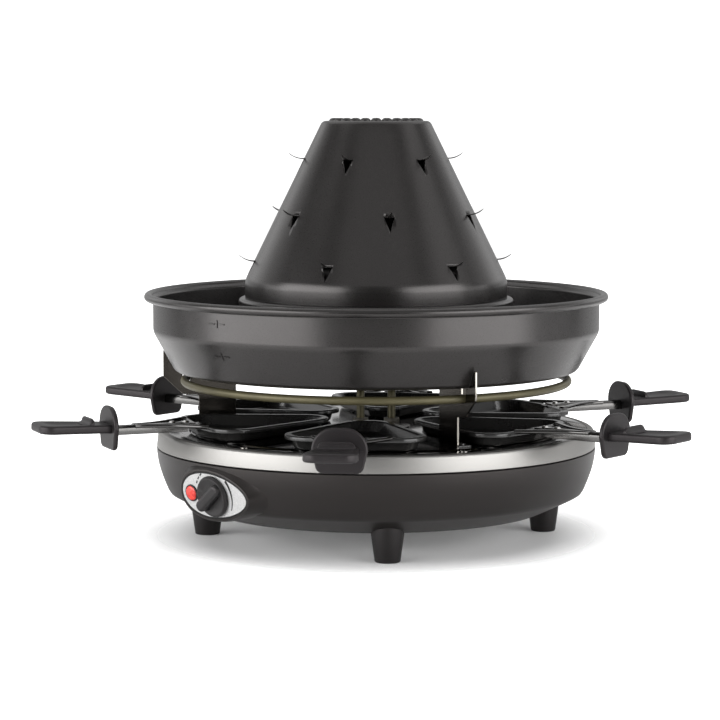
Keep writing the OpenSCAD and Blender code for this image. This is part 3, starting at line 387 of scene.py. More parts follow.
def pan_coating():
    """Anthracite non-stick coat with a fine metallic sparkle."""
    f = Finish("pan_coating", specular_ior_level=0.52, specular_tint=(1, 0.96, 0.95, 1))
    cloud = f.noise(26, 4)
    grain = f.noise(2000, 2)
    spark = f.cells(2600) > 0.94
    body = f.mix(cloud, (0.005, 0.0046, 0.0045), (0.008, 0.0074, 0.0072))
    lit = f.mix(grain.between(0.35, 0.75) * 0.5, body, (0.02, 0.0185, 0.018))
    f.wear(base_color=f.mix(spark * 0.25, lit, (0.14, 0.13, 0.125)), metallic=spark * 0.5)
    f.wear(roughness=0.26 + cloud * 0.05 - spark * 0.08)
    f.bump(grain, 0.16, 0.0002)
    return f.material


def housing_plastic():
    """Black-brown satin moulding."""
    f = Finish("housing_plastic", specular_ior_level=0.34, specular_tint=(1, 0.92, 0.9, 1))
    cloud = f.noise(18, 4)
    grain = f.noise(2200, 2)
    body = f.mix(cloud, (0.006, 0.0053, 0.0051), (0.009, 0.008, 0.0076))
    f.wear(base_color=f.mix(f.edges() * 0.3, body, (0.04, 0.037, 0.035)), roughness=0.36 + grain * 0.1)
    f.bump(grain, 0.12, 0.0001)
    return f.material


def black_plastic(name, base, lift, rough):
    """Moulded black plastic with a fine grain and lighter outer edges."""
    f = Finish(name, specular_ior_level=0.3, specular_tint=(1, 0.93, 0.95, 1))
    cloud = f.noise(40, 4)
    grain = f.noise(2600, 2)
    body = f.mix(cloud, base, lift)
    f.wear(base_color=f.mix(f.edges() * 0.4, body, tuple(2.2 * c for c in lift)))
    f.wear(roughness=rough + grain * 0.14)
    f.bump(grain, 0.18, 0.00012)
    return f.material


def polished_steel(name, tint, rough):
    """Bright plated or polished sheet with faint wiping marks."""
    f = Finish(name, metallic=1.0)
    smear = f.noise(35, 5)
    f.wear(base_color=f.mix(smear, tuple(0.94 * c for c in tint), tint), roughness=rough + smear * 0.05)
    return f.material


def tray_steel():
    """Mirror-polished reflector with a straw tint from the heat, kept very dark as painted shade."""
    f = Finish("tray_steel", metallic=1.0)
    smear = f.noise(22, 5)
    heat = f.noise(7, 3).between(0.45, 0.75)
    # The low tint of the polished tray is painted shade.
    f.wear(base_color=f.mix(heat, (0.14, 0.137, 0.135), (0.147, 0.13, 0.113)), roughness=0.05 + smear * 0.1)
    f.bump(smear, 0.05, 0.0006)
    return f.material


def heater_sheath():
    """Olive oxide on an annealed heater tube."""
    f = Finish("heater_sheath", specular_ior_level=0.5)
    cloud = f.noise(40, 5)
    grain = f.noise(900, 3)
    body = f.mix(cloud.between(0.3, 0.7), (0.046, 0.039, 0.015), (0.076, 0.066, 0.031))
    f.wear(base_color=f.mix(grain * 0.5, body, (0.105, 0.095, 0.055)), metallic=0.35 + cloud * 0.2)
    f.wear(roughness=0.36 + grain * 0.2)
    f.bump(grain, 0.2, 0.0001)
    return f.material


def dish_coating():
    """Black non-stick coat of a small pan."""
    f = Finish("dish_coating", specular_ior_level=0.5)
    cloud = f.noise(60, 4)
    grain = f.noise(1800, 2)
    f.wear(base_color=f.mix(cloud, (0.010, 0.010, 0.0095), (0.02, 0.0195, 0.019)))
    f.wear(roughness=0.15 + cloud * 0.07 + grain * 0.06)
    f.bump(grain, 0.14, 0.00012)
    return f.material


def panel_silver():
    """Silver lacquer with fine dark speckles."""
    f = Finish("panel_silver", specular_ior_level=0.5)
    speck = f.cells(2400)
    cloud = f.noise(60, 3)
    silver = f.mix(speck, (0.34, 0.34, 0.34), (0.58, 0.58, 0.575))
    f.wear(base_color=f.mix(cloud * 0.25, silver, (0.46, 0.46, 0.46)), metallic=0.2 + speck * 0.15)
    f.wear(roughness=0.38 + speck * 0.18)
    f.bump(speck, 0.06, 0.0001)
    return f.material


def lamp_red():
    """Clear red lamp cover with moulded facets."""
    f = Finish("lamp_red", specular_ior_level=0.6, emission_strength=0.05)
    facet = f.cells(700)
    red = f.mix(facet, (0.5, 0.012, 0.008), (0.8, 0.05, 0.03))
    f.wear(base_color=red, emission_color=red, roughness=0.12 + facet * 0.1)
    f.bump(facet, 0.3, 0.0003)
    return f.material


def mottled(name, level, scale, detail, dark, light, rough):
    """Plain ink or rubber, cloudy in colour and sheen."""
    f = Finish(name, specular_ior_level=level)
    cloud = f.noise(scale, detail)
    f.wear(base_color=f.mix(cloud, dark, light), roughness=rough + cloud * 0.15)
    return f.material


def shaded_insulator():
    """Insulator, tinted dark brown as painted shade where the heater legs go down into the dark."""
    f = Finish("insulator", specular_ior_level=0.4)
    cloud = f.noise(90, 4)
    # The dark brown colour is painted shade, far darker than the bare insulator.
    f.wear(base_color=f.mix(cloud, (0.085, 0.078, 0.062), (0.13, 0.12, 0.098)), roughness=0.4 + cloud * 0.2)
    f.bump(f.noise(1500, 2), 0.1, 0.0001)
    return f.material


def floor_white():
    """White studio table with a painted glow: faint under the object, where it deepens the shadow as painted
    shadow, strong around it and weaker again towards its edge.
    """
    f = Finish("floor_white", specular_ior_level=0.25, emission_strength=1.0)
    cloud = f.noise(3, 2)
    f.wear(base_color=f.mix(cloud, (0.86, 0.86, 0.86), (0.88, 0.88, 0.88)))
    reach = f.reach()
    # Painted glow by distance from the axis; its faint middle is painted shadow under the object.
    far = reach.between(0.2, 0.5) - reach.between(0.62, 0.78) * 0.7
    f.wear(emission_color=f.mix(far, (0.03, 0.03, 0.03), (0.6, 0.6, 0.6)), roughness=0.5 + cloud * 0.1)
    return f.material


def backdrop_white():
    """Glowing white that fades out towards the object, so that the table's shade shows there."""
    f = Finish("backdrop_white", emission_strength=1.05)
    haze = f.noise(0.5, 2)
    reach = f.reach()
    f.wear(alpha=reach.between(0.14, 0.24) * 0.75 + reach.between(0.3, 0.6) * 0.25)
    f.wear(base_color=f.mix(haze, (0.9, 0.9, 0.9), (0.92, 0.92, 0.92)))
    f.wear(emission_color=f.mix(haze, (0.99, 0.99, 0.99), (1, 1, 1)))
    return f.material


# Those with a name here are set on parts of pieces, the others are found by their slot
COAT = pan_coating()
housing_plastic()
black_plastic("grip_plastic", (0.0075, 0.0066, 0.007), (0.012, 0.0107, 0.0112), 0.36)
black_plastic("foot_plastic", (0.003, 0.0028, 0.0026), (0.006, 0.0056, 0.0052), 0.42)
black_plastic("knob_plastic", (0.012, 0.012, 0.012), (0.02, 0.02, 0.02), 0.34)
black_plastic("gland_rubber", (0.015, 0.015, 0.015), (0.03, 0.03, 0.03), 0.6)
polished_steel("ring_chrome", (0.27, 0.264, 0.254), 0.42)
# The stems' very dark chrome tint is painted shade, which keeps them dark but for thin highlights.
polished_steel("stem_chrome", (0.09, 0.088, 0.086), 0.13)
# The bracket's faces are tinted far darker than its cut edges: painted shade on the faces of one steel.
BRACKET = polished_steel("bracket_steel", (0.085, 0.077, 0.068), 0.16)
CUT_EDGE = polished_steel("bracket_cut_edge", (0.26, 0.246, 0.224), 0.09)
polished_steel("screw_steel", (0.66, 0.65, 0.64), 0.2)
polished_steel("cover_steel", (0.55, 0.55, 0.55), 0.3)
TRAY = tray_steel()
heater_sheath()
DISH = dish_coating()
SILVER = panel_silver()
lamp_red()
# Black for the printed marks, and for the band round the panel's face, which is painted shade.
PRINT_AND_GAP_SHADE = mottled("print_black", 0.3, 3000, 2, (0.006, 0.006, 0.006), (0.015, 0.015, 0.015), 0.45)
shaded_insulator()
mottled("wire_sleeve", 0.35, 300, 3, (0.28, 0.02, 0.015), (0.4, 0.04, 0.03), 0.5)
FLOOR = floor_white()
BACKDROP = backdrop_white()


# Geometry Nodes for pieces that repeat around the axis
RING_INPUTS = {
    "Copy": "Object", "Count": "Int", "Radius": "Float", "Height": "Float", "First angle": "Float",
    "Sway": "Float", "Seed": "Int", "Finish": "Material",
}


def ring_tree():
    """Tree that sets copies of a piece on a circle, each turned outwards and swayed a little."""
    tree = bpy.data.node_groups.new("ring_of_copies", "GeometryNodeTree")
    for name, kind in RING_INPUTS.items():
        tree.interface.new_socket(name, in_out="INPUT", socket_type="NodeSocket" + kind)
    tree.interface.new_socket("Geometry", in_out="OUTPUT", socket_type="NodeSocketGeometry")

    def add(kind, links, settings=(), out=0):
        made = tree.nodes.new(kind)
        for key, value in settings:
            setattr(made, key, value)
        for key, socket in links.items():
            tree.links.new(socket, made.inputs[key])
        return made.outputs[out]

    given = tree.nodes.new("NodeGroupInput").outputs
    circle = add("GeometryNodeMeshCircle", {"Vertices": given["Count"], "Radius": given["Radius"]})
    lift = add("ShaderNodeCombineXYZ", {"Z": given["Height"]})
    turn = add("ShaderNodeCombineXYZ", {"Z": given["First angle"]})
    placed = add("GeometryNodeTransform", {"Geometry": circle, "Translation": lift, "Rotation": turn})
    apart = tree.nodes.new("ShaderNodeSeparateXYZ")
    tree.links.new(add("GeometryNodeInputPosition", {}), apart.inputs[0])
    arctan = [("operation", "ARCTAN2")]
    outward = add("ShaderNodeMath", {0: apart.outputs["Y"], 1: apart.outputs["X"]}, arctan)
    down = add("ShaderNodeMath", {0: given["Sway"]}, [("operation", "MULTIPLY")])
    down.node.inputs[1].default_value = -1
    sway = add("FunctionNodeRandomValue", {2: down, 3: given["Sway"], "Seed": given["Seed"]}, out=1)
    facing = add("ShaderNodeCombineXYZ", {"Y": sway, "Z": outward})
    aim = add("FunctionNodeEulerToRotation", {"Euler": facing})
    copy = add("GeometryNodeObjectInfo", {"Object": given["Copy"]}, out=4)
    copies = add("GeometryNodeInstanceOnPoints", {"Points": placed, "Instance": copy, "Rotation": aim})
    real = add("GeometryNodeRealizeInstances", {"Geometry": copies})
    done = add("GeometryNodeSetMaterial", {"Geometry": real, "Material": given["Finish"]})
    tree.links.new(done, tree.nodes.new("NodeGroupOutput").inputs[0])
    return tree


RING = ring_tree()


def settle(piece):
    """Turns a piece's modifiers into plain mesh."""
    seen = piece.evaluated_get(bpy.context.evaluated_depsgraph_get())
    mesh = bpy.data.meshes.new_from_object(seen)
    piece.modifiers.clear()
    piece.data = mesh
    return piece


def ring_of(name, copy, count, radius, height, first, finish, sway=0.0, seed=1):
    """Copies of a piece around the axis; the first stands at an azimuth."""
    piece = put(name, bpy.data.meshes.new(name))
    made = piece.modifiers.new(name, "NODES")
    made.node_group = RING
    values = (copy, count, radius * MM, height * MM, first - pi / 2, sway, seed, finish)
    for key, value in zip(RING_INPUTS, values):
        made[RING.interface.items_tree[key].identifier] = value
    return settle(piece)


def cut(piece, cutter):
    """Takes one piece out of another."""
    made = piece.modifiers.new("cut", "BOOLEAN")
    made.operation = "DIFFERENCE"
    made.solver = "EXACT"
    made.object = cutter
    settle(piece)
    bpy.data.objects.remove(cutter)


# Hat
HAT_R = 107.2
HAT_H = 143.5
HAT_SHEET = 1.6
BAND_H = 10
SHOULDER_R = 18
CONE = 26.1 * DEG
CROWN_R = 5
SPIKE_COUNT = 6
SPIKE_STEP = 2 * pi / SPIKE_COUNT
SPIKE_ROWS = ((29.5, 0.0), (68, 0.5), (112.5, 0.0))
SPIKE_W = 8.6
SPIKE_REACH = 12.6
SPIKE_RISE = 4.9
SPIKE_HOLE = 11.4
SPIKE_SHEET = 0.9
SPIKE_POINT = 0.35
SPIKE_ROOT = 1.1
SPIKE_SWAY = 2 * DEG
SPIKE_SEED = 3
NIB_COUNT = 24
NIB_PITCH_R = 34


def cone_r(height):
    """Radius of the hat's outer cone at a height above its base."""
    start_h = BAND_H + SHOULDER_R * sin(CONE)
    start_r = HAT_R - SHOULDER_R * (1 - cos(CONE))
    return start_r - (height - start_h) * tan(CONE)


def hat_side(inset):
    """One side of the hat's sheet, from its base to the axis."""
    crown_h = HAT_H - CROWN_R
    crown_c = cone_r(crown_h + CROWN_R * sin(CONE)) - CROWN_R * cos(CONE)

    def arc(r, z, radius, first, last):
        turns = [first + (last - first) * k / ARC_STEPS for k in range(ARC_STEPS + 1)]
        return [(r + radius * cos(t), z + radius * sin(t)) for t in turns]

    shoulder = arc(HAT_R - SHOULDER_R, BAND_H, SHOULDER_R - inset, 0, CONE)
    crown = arc(crown_c, crown_h, CROWN_R - inset, CONE, pi / 2)
    side = [(HAT_R - inset, 0), (HAT_R - inset, BAND_H / 2)] + shoulder
    rows = 18
    for k in range(1, rows):
        side.append(tuple(a + (b - a) * k / rows for a, b in zip(shoulder[-1], crown[0])))
    return side + crown + [(crown_c / 2, HAT_H - inset), (0, HAT_H - inset)]


def spike_holes():
    """Wedges that punch the three-cornered holes under the spikes."""
    bm = bmesh.new()
    depth = 7
    corners = ((-SPIKE_W / 2, 0), (0, -SPIKE_HOLE), (SPIKE_W / 2, 0))
    for height, shift in SPIKE_ROWS:
        ends = (cone_r(height) - depth, cone_r(height) + depth)
        for k in range(SPIKE_COUNT):
            place = at_azimuth(SPIKE_AZIMUTH + (k + shift) * SPIKE_STEP)
            fill(bm, [[place @ Vector((r, y, HAT_Z + height + z)) for y, z in corners] for r in ends])
    return finish_mesh(bm, "spike_holes")


def spike():
    """Tongue that curls up to a point, with its root in the wall."""
    whole = 2 * atan2(SPIKE_RISE, SPIKE_REACH)
    curl = SPIKE_REACH / sin(whole)
    rings = []
    steps = 14
    for k in range(-1, steps + 1):
        s = max(k, 0) / steps
        t = whole * s
        middle = Vector((curl * sin(t), 0, curl * (1 - cos(t))))
        up = Vector((-sin(t), 0, cos(t)))
        if k < 0:
            middle.x = -SPIKE_ROOT
        half = (SPIKE_W * (1 - s) ** 0.9 + SPIKE_POINT * s) / 2
        thick = SPIKE_SHEET * (1 - 0.55 * s)
        soft = min(0.3, half / 2, thick / 3)
        flat, high = half - soft, thick - soft
        outline = ((-half, soft), (-flat, 0), (flat, 0), (half, soft),
                   (half, high), (flat, thick), (-flat, thick), (-half, high))
        rings.append([middle + Vector((0, y, 0)) + up * z for y, z in outline])
    return loft("spike", rings, sharp=50)


def make_hat():
    """Conical sheet with punched spikes and a ring of vent nibs on its crown."""
    profile = hat_side(0) + list(reversed(hat_side(HAT_SHEET)))
    shell = lathe("hat_shell", [(r, HAT_Z + z) for r, z in profile])
    cut(shell, spike_holes())
    paint(shell, COAT)
    parts = [shell]
    tongue = spike()
    for n, (height, shift) in enumerate(SPIKE_ROWS):
        first = SPIKE_AZIMUTH + shift * SPIKE_STEP
        row = (f"spikes_{n}", tongue, SPIKE_COUNT, cone_r(height), HAT_Z + height, first, COAT)
        parts.append(ring_of(*row, sway=SPIKE_SWAY, seed=SPIKE_SEED + n))
    collar = [(0.9, -0.8), (4.5, -0.8), (4.4, 0.3), (3.5, 1.6), (1.6, 2.3), (0.9, 2.3)]
    nib = lathe("nib", rounded(collar, [0, 0, 0.5, 1.2, 0.3, 0.2], 4), segments=32)
    parts.append(ring_of("nibs", nib, NIB_COUNT, NIB_PITCH_R, HAT_Z + HAT_H, 0, COAT))
    bpy.data.objects.remove(tongue)
    bpy.data.objects.remove(nib)
    dress(join("spiked_hat", parts), "hat", "pan_coating", "hat")


# Broth pan
PAN_WALL_R = 182.3
PAN_BOTTOM_R = 164.5
PAN_SLANT = 32.5
PAN_UPRIGHT = 31.4
PAN_SHEET = 2
HUB_R = 112.5
COLLAR_H = 59.2
BEAD_R = 3.3
FLARE = 3.9
SPIGOT_PLAY = 0.6
SPIGOT_H = 6
SPIGOT_SHEET = 1.8
MARK_AZIMUTH = -42 * DEG
MARK_LEVELS = (183.8, 158)


def pan_r(level):
    """Outer radius of the broth pan's slant and wall at a height."""
    return min(PAN_WALL_R, PAN_BOTTOM_R + (level - PAN_Z) / PAN_SLANT * (PAN_WALL_R - PAN_BOTTOM_R))


def level_mark(height):
    """Raised filling mark on the pan's wall: a short upright between two dashes."""
    parts = []
    for y, w, h in ((0, 1.1, 6), (-5.2, 6, 1), (5.2, 6, 1)):
        rings = []
        for proud, shrink in ((-1.2, 0), (0.45, 0), (0.75, 0.2)):
            ring = []
            for sy, sz in ((-1, -1), (1, -1), (1, 1), (-1, 1)):
                level = height + sz * (h / 2 - shrink)
                turn = at_azimuth(MARK_AZIMUTH + (y + sy * (w / 2 - shrink)) / PAN_WALL_R)
                ring.append(turn @ Vector((pan_r(level) + proud, 0, level)))
            rings.append(ring)
        parts.append(loft("level_mark", rings))
    return parts


def make_broth_pan():
    """Round trough with a rolled rim, a hub and the collar that carries the hat."""
    rim = PAN_Z + PAN_SLANT + PAN_UPRIGHT
    slant = PAN_Z + PAN_SLANT
    bead = (PAN_WALL_R + FLARE, rim - BEAD_R)
    flare = bead[1] - FLARE
    collar = PAN_Z + COLLAR_H
    inner, spigot = HUB_R - PAN_SHEET, HAT_R - HAT_SHEET - SPIGOT_PLAY
    points = [
        (inner, PAN_Z), (PAN_BOTTOM_R, PAN_Z), (PAN_WALL_R, slant), (PAN_WALL_R, flare), bead, (bead[0], rim),
        (PAN_WALL_R - PAN_SHEET, flare + PAN_SHEET), (PAN_WALL_R - PAN_SHEET, slant + PAN_SHEET / 3),
        (PAN_BOTTOM_R - PAN_SHEET / 2, PAN_Z + PAN_SHEET), (HUB_R, PAN_Z + PAN_SHEET), (HUB_R, collar),
        (spigot, collar), (spigot, collar + SPIGOT_H), (spigot - SPIGOT_SHEET, collar + SPIGOT_H),
        (spigot - SPIGOT_SHEET, collar - PAN_SHEET), (inner, collar - PAN_SHEET),
    ]
    body = lathe("pan_body", rounded(points, [1, 7, 12, 1, 0, 0, 3, 10, 5, 4, 3, 0, 0.5, 0.5, 0, 1]))
    wire = [(bead[0] + BEAD_R * cos(t), bead[1] + BEAD_R * sin(t)) for t in full_turn(24)]
    parts = [body, lathe("pan_bead", wire)]
    for level in MARK_LEVELS:
        parts += level_mark(level)
    dress(join("trough", parts), "broth_pan", "pan_coating", "broth_pan")


# Base
CREASE_INSET = 10
BEVEL_H = 15
BOTTOM_R = 140
OPENING_R = 112
WALL = 2.6
SEAT_R = BASE_R - 5
LEDGE_R = SEAT_R - 9
CREASE_R = BASE_R - CREASE_INSET
CREASE_Z = STAND_Z + BEVEL_H
LIP_R = BASE_R - 7
TRAY_R = LIP_R - 0.2
LEDGE_Z = DECK_Z - 1
GROOVE_IN = 152
GROOVE_OUT = 162
GROOVE_D = 1.5
FOOT_PITCH_R = 139
FOOT_BORE_R = 4.8
FOOT_BORE_H = 12
FOOT_SOLE_R = 10
FOOT_R = 12.9
FOOT_FLARE_H = 21.5
FOOT_H = 30
PANEL_SIDES = 128
PANEL_W = 75
PANEL_H = 37
PANEL_TAPER = 0.18
PANEL_RIM = 2.2
PANEL_AZIMUTH = -44.5 * DEG
PANEL_R = 178
PANEL_Z = 49.5
PANEL_TILT = 10 * DEG
BOSS_GROW = 13
BOSS_FLATTEN = 4
BOSS_SHIFT = 8
BOSS_STRETCH = 4
BOSS_DEPTH = 10
BOSS_HEART = 14
BOSS_SUNK = 1.6
LAMP_OFFSET = 25.6
PANEL = (
    Matrix.Rotation(PANEL_AZIMUTH, 4, "Z")
    @ Matrix.Translation((0, -PANEL_R, PANEL_Z))
    @ Matrix.Rotation(pi / 2 + PANEL_TILT, 4, "X")
)


def housing_r(level):
    """Outer radius of the housing at a height."""
    if level < CREASE_Z:
        return BOTTOM_R + (level - STAND_Z) / BEVEL_H * (CREASE_R - BOTTOM_R)
    return CREASE_R + CREASE_INSET * sin(pi / 2 * min(1, (level - CREASE_Z) / (RING_Z - CREASE_Z)))


def panel_outline(grow, lift=0.0):
    """Egg-shaped outline of the control panel, grown by a margin."""
    made = []
    for t in full_turn(PANEL_SIDES):
        y = (PANEL_H / 2 + grow + lift) * sin(t) * (1 - PANEL_TAPER * cos(t))
        made.append(Vector(((PANEL_W / 2 + grow) * cos(t), y)))
    return made


def panel_boss():
    """Swelling that flows from the housing out to the rim around the control panel."""
    rim = [PANEL @ Vector((*p, 0.2)) for p in panel_outline(PANEL_RIM)]
    normal = (PANEL.to_3x3() @ Vector((0, 0, 1))).normalized()
    middle = PANEL @ Vector((BOSS_SHIFT, 0, -BOSS_HEART))
    foot = []
    for t, p in zip(full_turn(PANEL_SIDES), panel_outline(BOSS_GROW, -BOSS_FLATTEN)):
        seat = PANEL @ Vector((p.x + BOSS_SHIFT + BOSS_STRETCH * cos(t), p.y, -BOSS_DEPTH))
        level = min(max(seat.z, STAND_Z + 2.5), RING_Z - 0.6)
        around_z = atan2(seat.y, seat.x)
        reach = housing_r(level) - 0.5
        foot.append(Vector((reach * cos(around_z), reach * sin(around_z), level)))
    rings = []
    for inset, z in ((0.0, -1.6), (0.0, 0.75), (0.25, 1.0), (1.5, 1.0), (2.0, 0.7), (2.2, 0.2)):
        rings.append([PANEL @ Vector((*p, z)) for p in panel_outline(inset)])
    steps = 16
    for k in range(1, steps + 1):
        s = k / steps
        h0, h1 = 2 * s**3 - 3 * s**2 + 1, s**3 - 2 * s**2 + s
        g0, g1 = 3 * s**2 - 2 * s**3, s**3 - s**2
        ring = []
        for a, b in zip(rim, foot):
            span = (b - a).length
            away = (b - middle).normalized()
            leave = (0.9 * away - normal).normalized() * span * 0.9
            ring.append(h0 * a + h1 * leave + g0 * b + g1 * away * span * 1.2)
        rings.append(ring)
    rings.append([p - Vector((p.x, p.y, 0)).normalized() * BOSS_SUNK for p in foot])
    return loft("panel_boss", rings, sharp=40)


def make_housing():
    """Moulded shell with the swelling for the control panel."""
    rows = 14
    side = [CREASE_Z + (RING_Z - 0.7 - CREASE_Z) * k / rows for k in range(1, rows + 1)]
    outer = [
        (OPENING_R, STAND_Z), (BOTTOM_R - 3, STAND_Z), (BOTTOM_R - 1, STAND_Z + 0.3),
        (BOTTOM_R + 1, STAND_Z + 1.1), (housing_r(CREASE_Z - 2), CREASE_Z - 2),
        (housing_r(CREASE_Z) - 0.5, CREASE_Z),
    ]
    outer += [(housing_r(z), z) for z in side]
    outer += [(BASE_R - 0.7, RING_Z - 0.2), (BASE_R - 1.6, RING_Z), (SEAT_R, RING_Z)]
    outer += [(SEAT_R, LEDGE_Z), (LEDGE_R, LEDGE_Z)]
    inner = [(LEDGE_R, LEDGE_Z - WALL), (SEAT_R - WALL, LEDGE_Z - WALL), (SEAT_R - WALL, RING_Z - WALL)]
    inner += [(housing_r(z) - WALL, z) for z in reversed(side[:-2])]
    inner += [(CREASE_R - WALL, CREASE_Z + 2), (BOTTOM_R, STAND_Z + WALL), (OPENING_R, STAND_Z + WALL)]
    shell = lathe("housing_shell", outer + inner, sharp=50)
    dress(join("housing", [shell, panel_boss()]), "base", "housing_plastic", "base_housing")


def make_feet():
    """Four feet, each with a bore for its screw."""
    outline = [
        (FOOT_BORE_R, FOOT_BORE_H), (FOOT_BORE_R, 0), (FOOT_SOLE_R, 0), (FOOT_R, FOOT_FLARE_H),
        (FOOT_R, FOOT_H), (0, FOOT_H), (0, FOOT_BORE_H),
    ]
    profile = rounded(outline, [0, 0.4, 1.2, 0, 0, 0, 0], 4)
    for k, side in enumerate(("front", "right", "back", "left")):
        place = at_azimuth(FOOT_AZIMUTH + k * pi / 2) @ Matrix.Translation((FOOT_PITCH_R, 0, 0))
        foot = lathe(f"foot_{side}_moulded", profile, place, 64)
        dress(foot, "base", "foot_plastic", f"foot_{side}")


def make_ring_and_tray():
    """Chrome ring on the housing, and the reflector tray with its pressed groove inside it."""
    section = [
        (BASE_R - 1.2, RING_Z + 0.5), (BASE_R, RING_Z + 0.5), (BASE_R - 1.4, DECK_Z), (LIP_R, DECK_Z),
        (LIP_R, LEDGE_Z), (BASE_R - 2.4, LEDGE_Z),
    ]
    ring = rounded(section, [0.2, 0.5, 2.6, 0.4, 0.4, 1.6])
    dress(lathe("polished_ring", ring), "base", "ring_chrome", "chrome_ring")
    slope_in, slope_out = GROOVE_IN + GROOVE_D, GROOVE_OUT - GROOVE_D
    groove = [(GROOVE_IN, 0), (slope_in, GROOVE_D), (slope_out, GROOVE_D), (GROOVE_OUT, 0)]
    section = [(0, LEDGE_Z)] + [(r, LEDGE_Z - deep) for r, deep in groove]
    section += [(TRAY_R, LEDGE_Z), (TRAY_R, DECK_Z)]
    section += [(r, DECK_Z - deep) for r, deep in reversed(groove)] + [(0, DECK_Z)]
    sheet = rounded(section, [0, 1, 1, 1, 1, 0, 0.3, 1.5, 0.8, 0.8, 1.5, 0], 4)
    dress(lathe("mirror_tray", sheet), "base", "tray_steel", "reflector_tray")


# Controls
FACE_INSET = 1.2
GAP_SHADE_INSET = 0.15
PRINT_LOW = 0.98
PRINT_HIGH = 1.04
SCALE_R = 20.6
SCALE_START = 42 * DEG
SCALE_END = -28 * DEG
DASH_R = 20.5
DASH_COUNT = 3
DASH_START = 124 * DEG
DASH_STEP = 12 * DEG
DASH_SPAN = 8 * DEG
KNOB_SEAT = 1.6
KNOB_R = 16.5
KNOB_H = 3.5
KNOB_BORE_R = 3.1
KNOB_REST = 40 * DEG
RIDGE_L = 29.6
RIDGE_W = 10
RIDGE_LOW = 1.5
RIDGE_HIGH = 10
RIDGE_LEAN = 0.06


def print_band(name, start, end, radius, width, bulge=0.0):
    """Printed arc around the knob, wider at its start where it has a bulge."""
    steps = 32
    outer, inner = [], []
    for k in range(steps + 1):
        s = k / steps
        ray = unit(start + (end - start) * s)
        half = width / 2 + bulge * (1 - s)
        outer.append(ray * (radius + half))
        inner.append(ray * (radius - half))
    return plate(name, outer + inner[::-1], PRINT_LOW, PRINT_HIGH, place=PANEL)


def make_panel():
    """Panel with its printed marks, a black band round its face as painted shade in the gap to the boss, and
    the lamp.
    """
    face = plate("panel_face", panel_outline(-FACE_INSET), 0.05, 1, 0.25, PANEL)
    paint(face, SILVER)
    # Black band just outside the face and under its edge: painted shade in the gap between panel and boss.
    marks = [plate("panel_border", panel_outline(-GAP_SHADE_INSET), 0.02, 0.94, 0.2, PANEL)]
    marks.append(print_band("scale", SCALE_START, SCALE_END, SCALE_R, 0.9, 0.8))
    for k in range(DASH_COUNT):
        start = DASH_START + DASH_STEP * k
        marks.append(print_band(f"dash_{k}", start, start + DASH_SPAN, DASH_R, 1.3))
    # The band round the face gets the print black too, as painted shade.
    for mark in marks:
        paint(mark, PRINT_AND_GAP_SHADE)
    dress(join("panel", [face] + marks), "base", "panel_silver", "control_panel")
    lamp = PANEL @ Matrix.Translation((-LAMP_OFFSET, 0, 0))
    bezel = rounded([(5.8, 0.9), (7, 0.9), (6.65, 2.3), (5.8, 2.3)], [0, 0.2, 0.5, 0.3], 4)
    dress(lathe("lamp_ring", bezel, lamp, 64), "base", "knob_plastic", "lamp_bezel")
    dome = [(0, 0), (5.7, 0), (5.7, 2.2), (5.45, 2.55), (4.6, 2.9), (3.1, 3.2), (1.5, 3.36), (0, 3.4)]
    dress(lathe("lamp_window", dome, lamp, 64), "base", "lamp_red", "lamp_lens")


def make_knob():
    """Dished disc with a ridge that falls towards one end."""
    seat = PANEL @ Matrix.Translation((0, 0, KNOB_SEAT))
    section = [
        (0, 0.2), (KNOB_BORE_R, 0.2), (KNOB_BORE_R, 0), (KNOB_R, 0), (KNOB_R, KNOB_H / 2),
        (KNOB_R - 1.2, KNOB_H), (KNOB_R - 2.2, KNOB_H), (10, 2.7), (0, 2.3),
    ]
    disc = lathe("knob_disc", rounded(section, [0, 0, 0, 0.5, 0.6, 0.6, 0.5, 3, 0], 6), seat, 128)
    reach, half = RIDGE_L / 2, RIDGE_W / 2
    outline = rounded([(-reach, -half), (reach, -half), (reach, half), (-reach, half)], [4.4] * 4)
    rings = []
    for inset, z in edge_levels(RIDGE_LOW, RIDGE_HIGH, 2.6, 8):
        rise = z - RIDGE_LOW
        sides = inset_outline(outline, inset + RIDGE_LEAN * rise)
        rings.append([(*p, RIDGE_LOW + rise * (0.81 - 0.19 * p.x / reach)) for p in sides])
    ridge = loft("knob_ridge", rings, seat @ Matrix.Rotation(KNOB_REST, 4, "Z"), 50)
    dress(join("ridged_knob", [disc, ridge]), "knob", "knob_plastic", "knob")


# Heater and brackets
HEATER_R = 157
HEATER_Z = DECK_Z + 39.3
TUBE_R = 3.3
LEG_X = 12.75
BEND_R = 16
GAP_AZIMUTH = PAN_AZIMUTH + PAN_STEP / 2
BRACKET_AZIMUTH = GAP_AZIMUTH + 2.2 * DEG
BRACKET_COUNT = 3
BRACKET_IN = 116
BRACKET_OUT = 147
BRACKET_SHEET = 1.5
TAB_W = 12
TAB_SCREW_INSET = 7
LEG_FOOT_Z = DECK_Z - 20
LEG_BEND_Z = DECK_Z + 8
ARM_Z = DECK_Z + 25.3
ARM_L = 13
ARM_RISE = 15
FINGER_GAP = 1.2
FINGER_H = 14.5
FINGER_W = 3
FLANGE_PITCH_R = 20
FLANGE_T = 1.5


def bend(centre, u, v, turn):
    """Points of an arc of the bend radius, which starts along u and turns towards v."""
    steps = 16
    angles = [turn * k / steps for k in range(steps + 1)]
    return [Vector(centre) + BEND_R * (cos(t) * Vector(u) + sin(t) * Vector(v)) for t in angles]


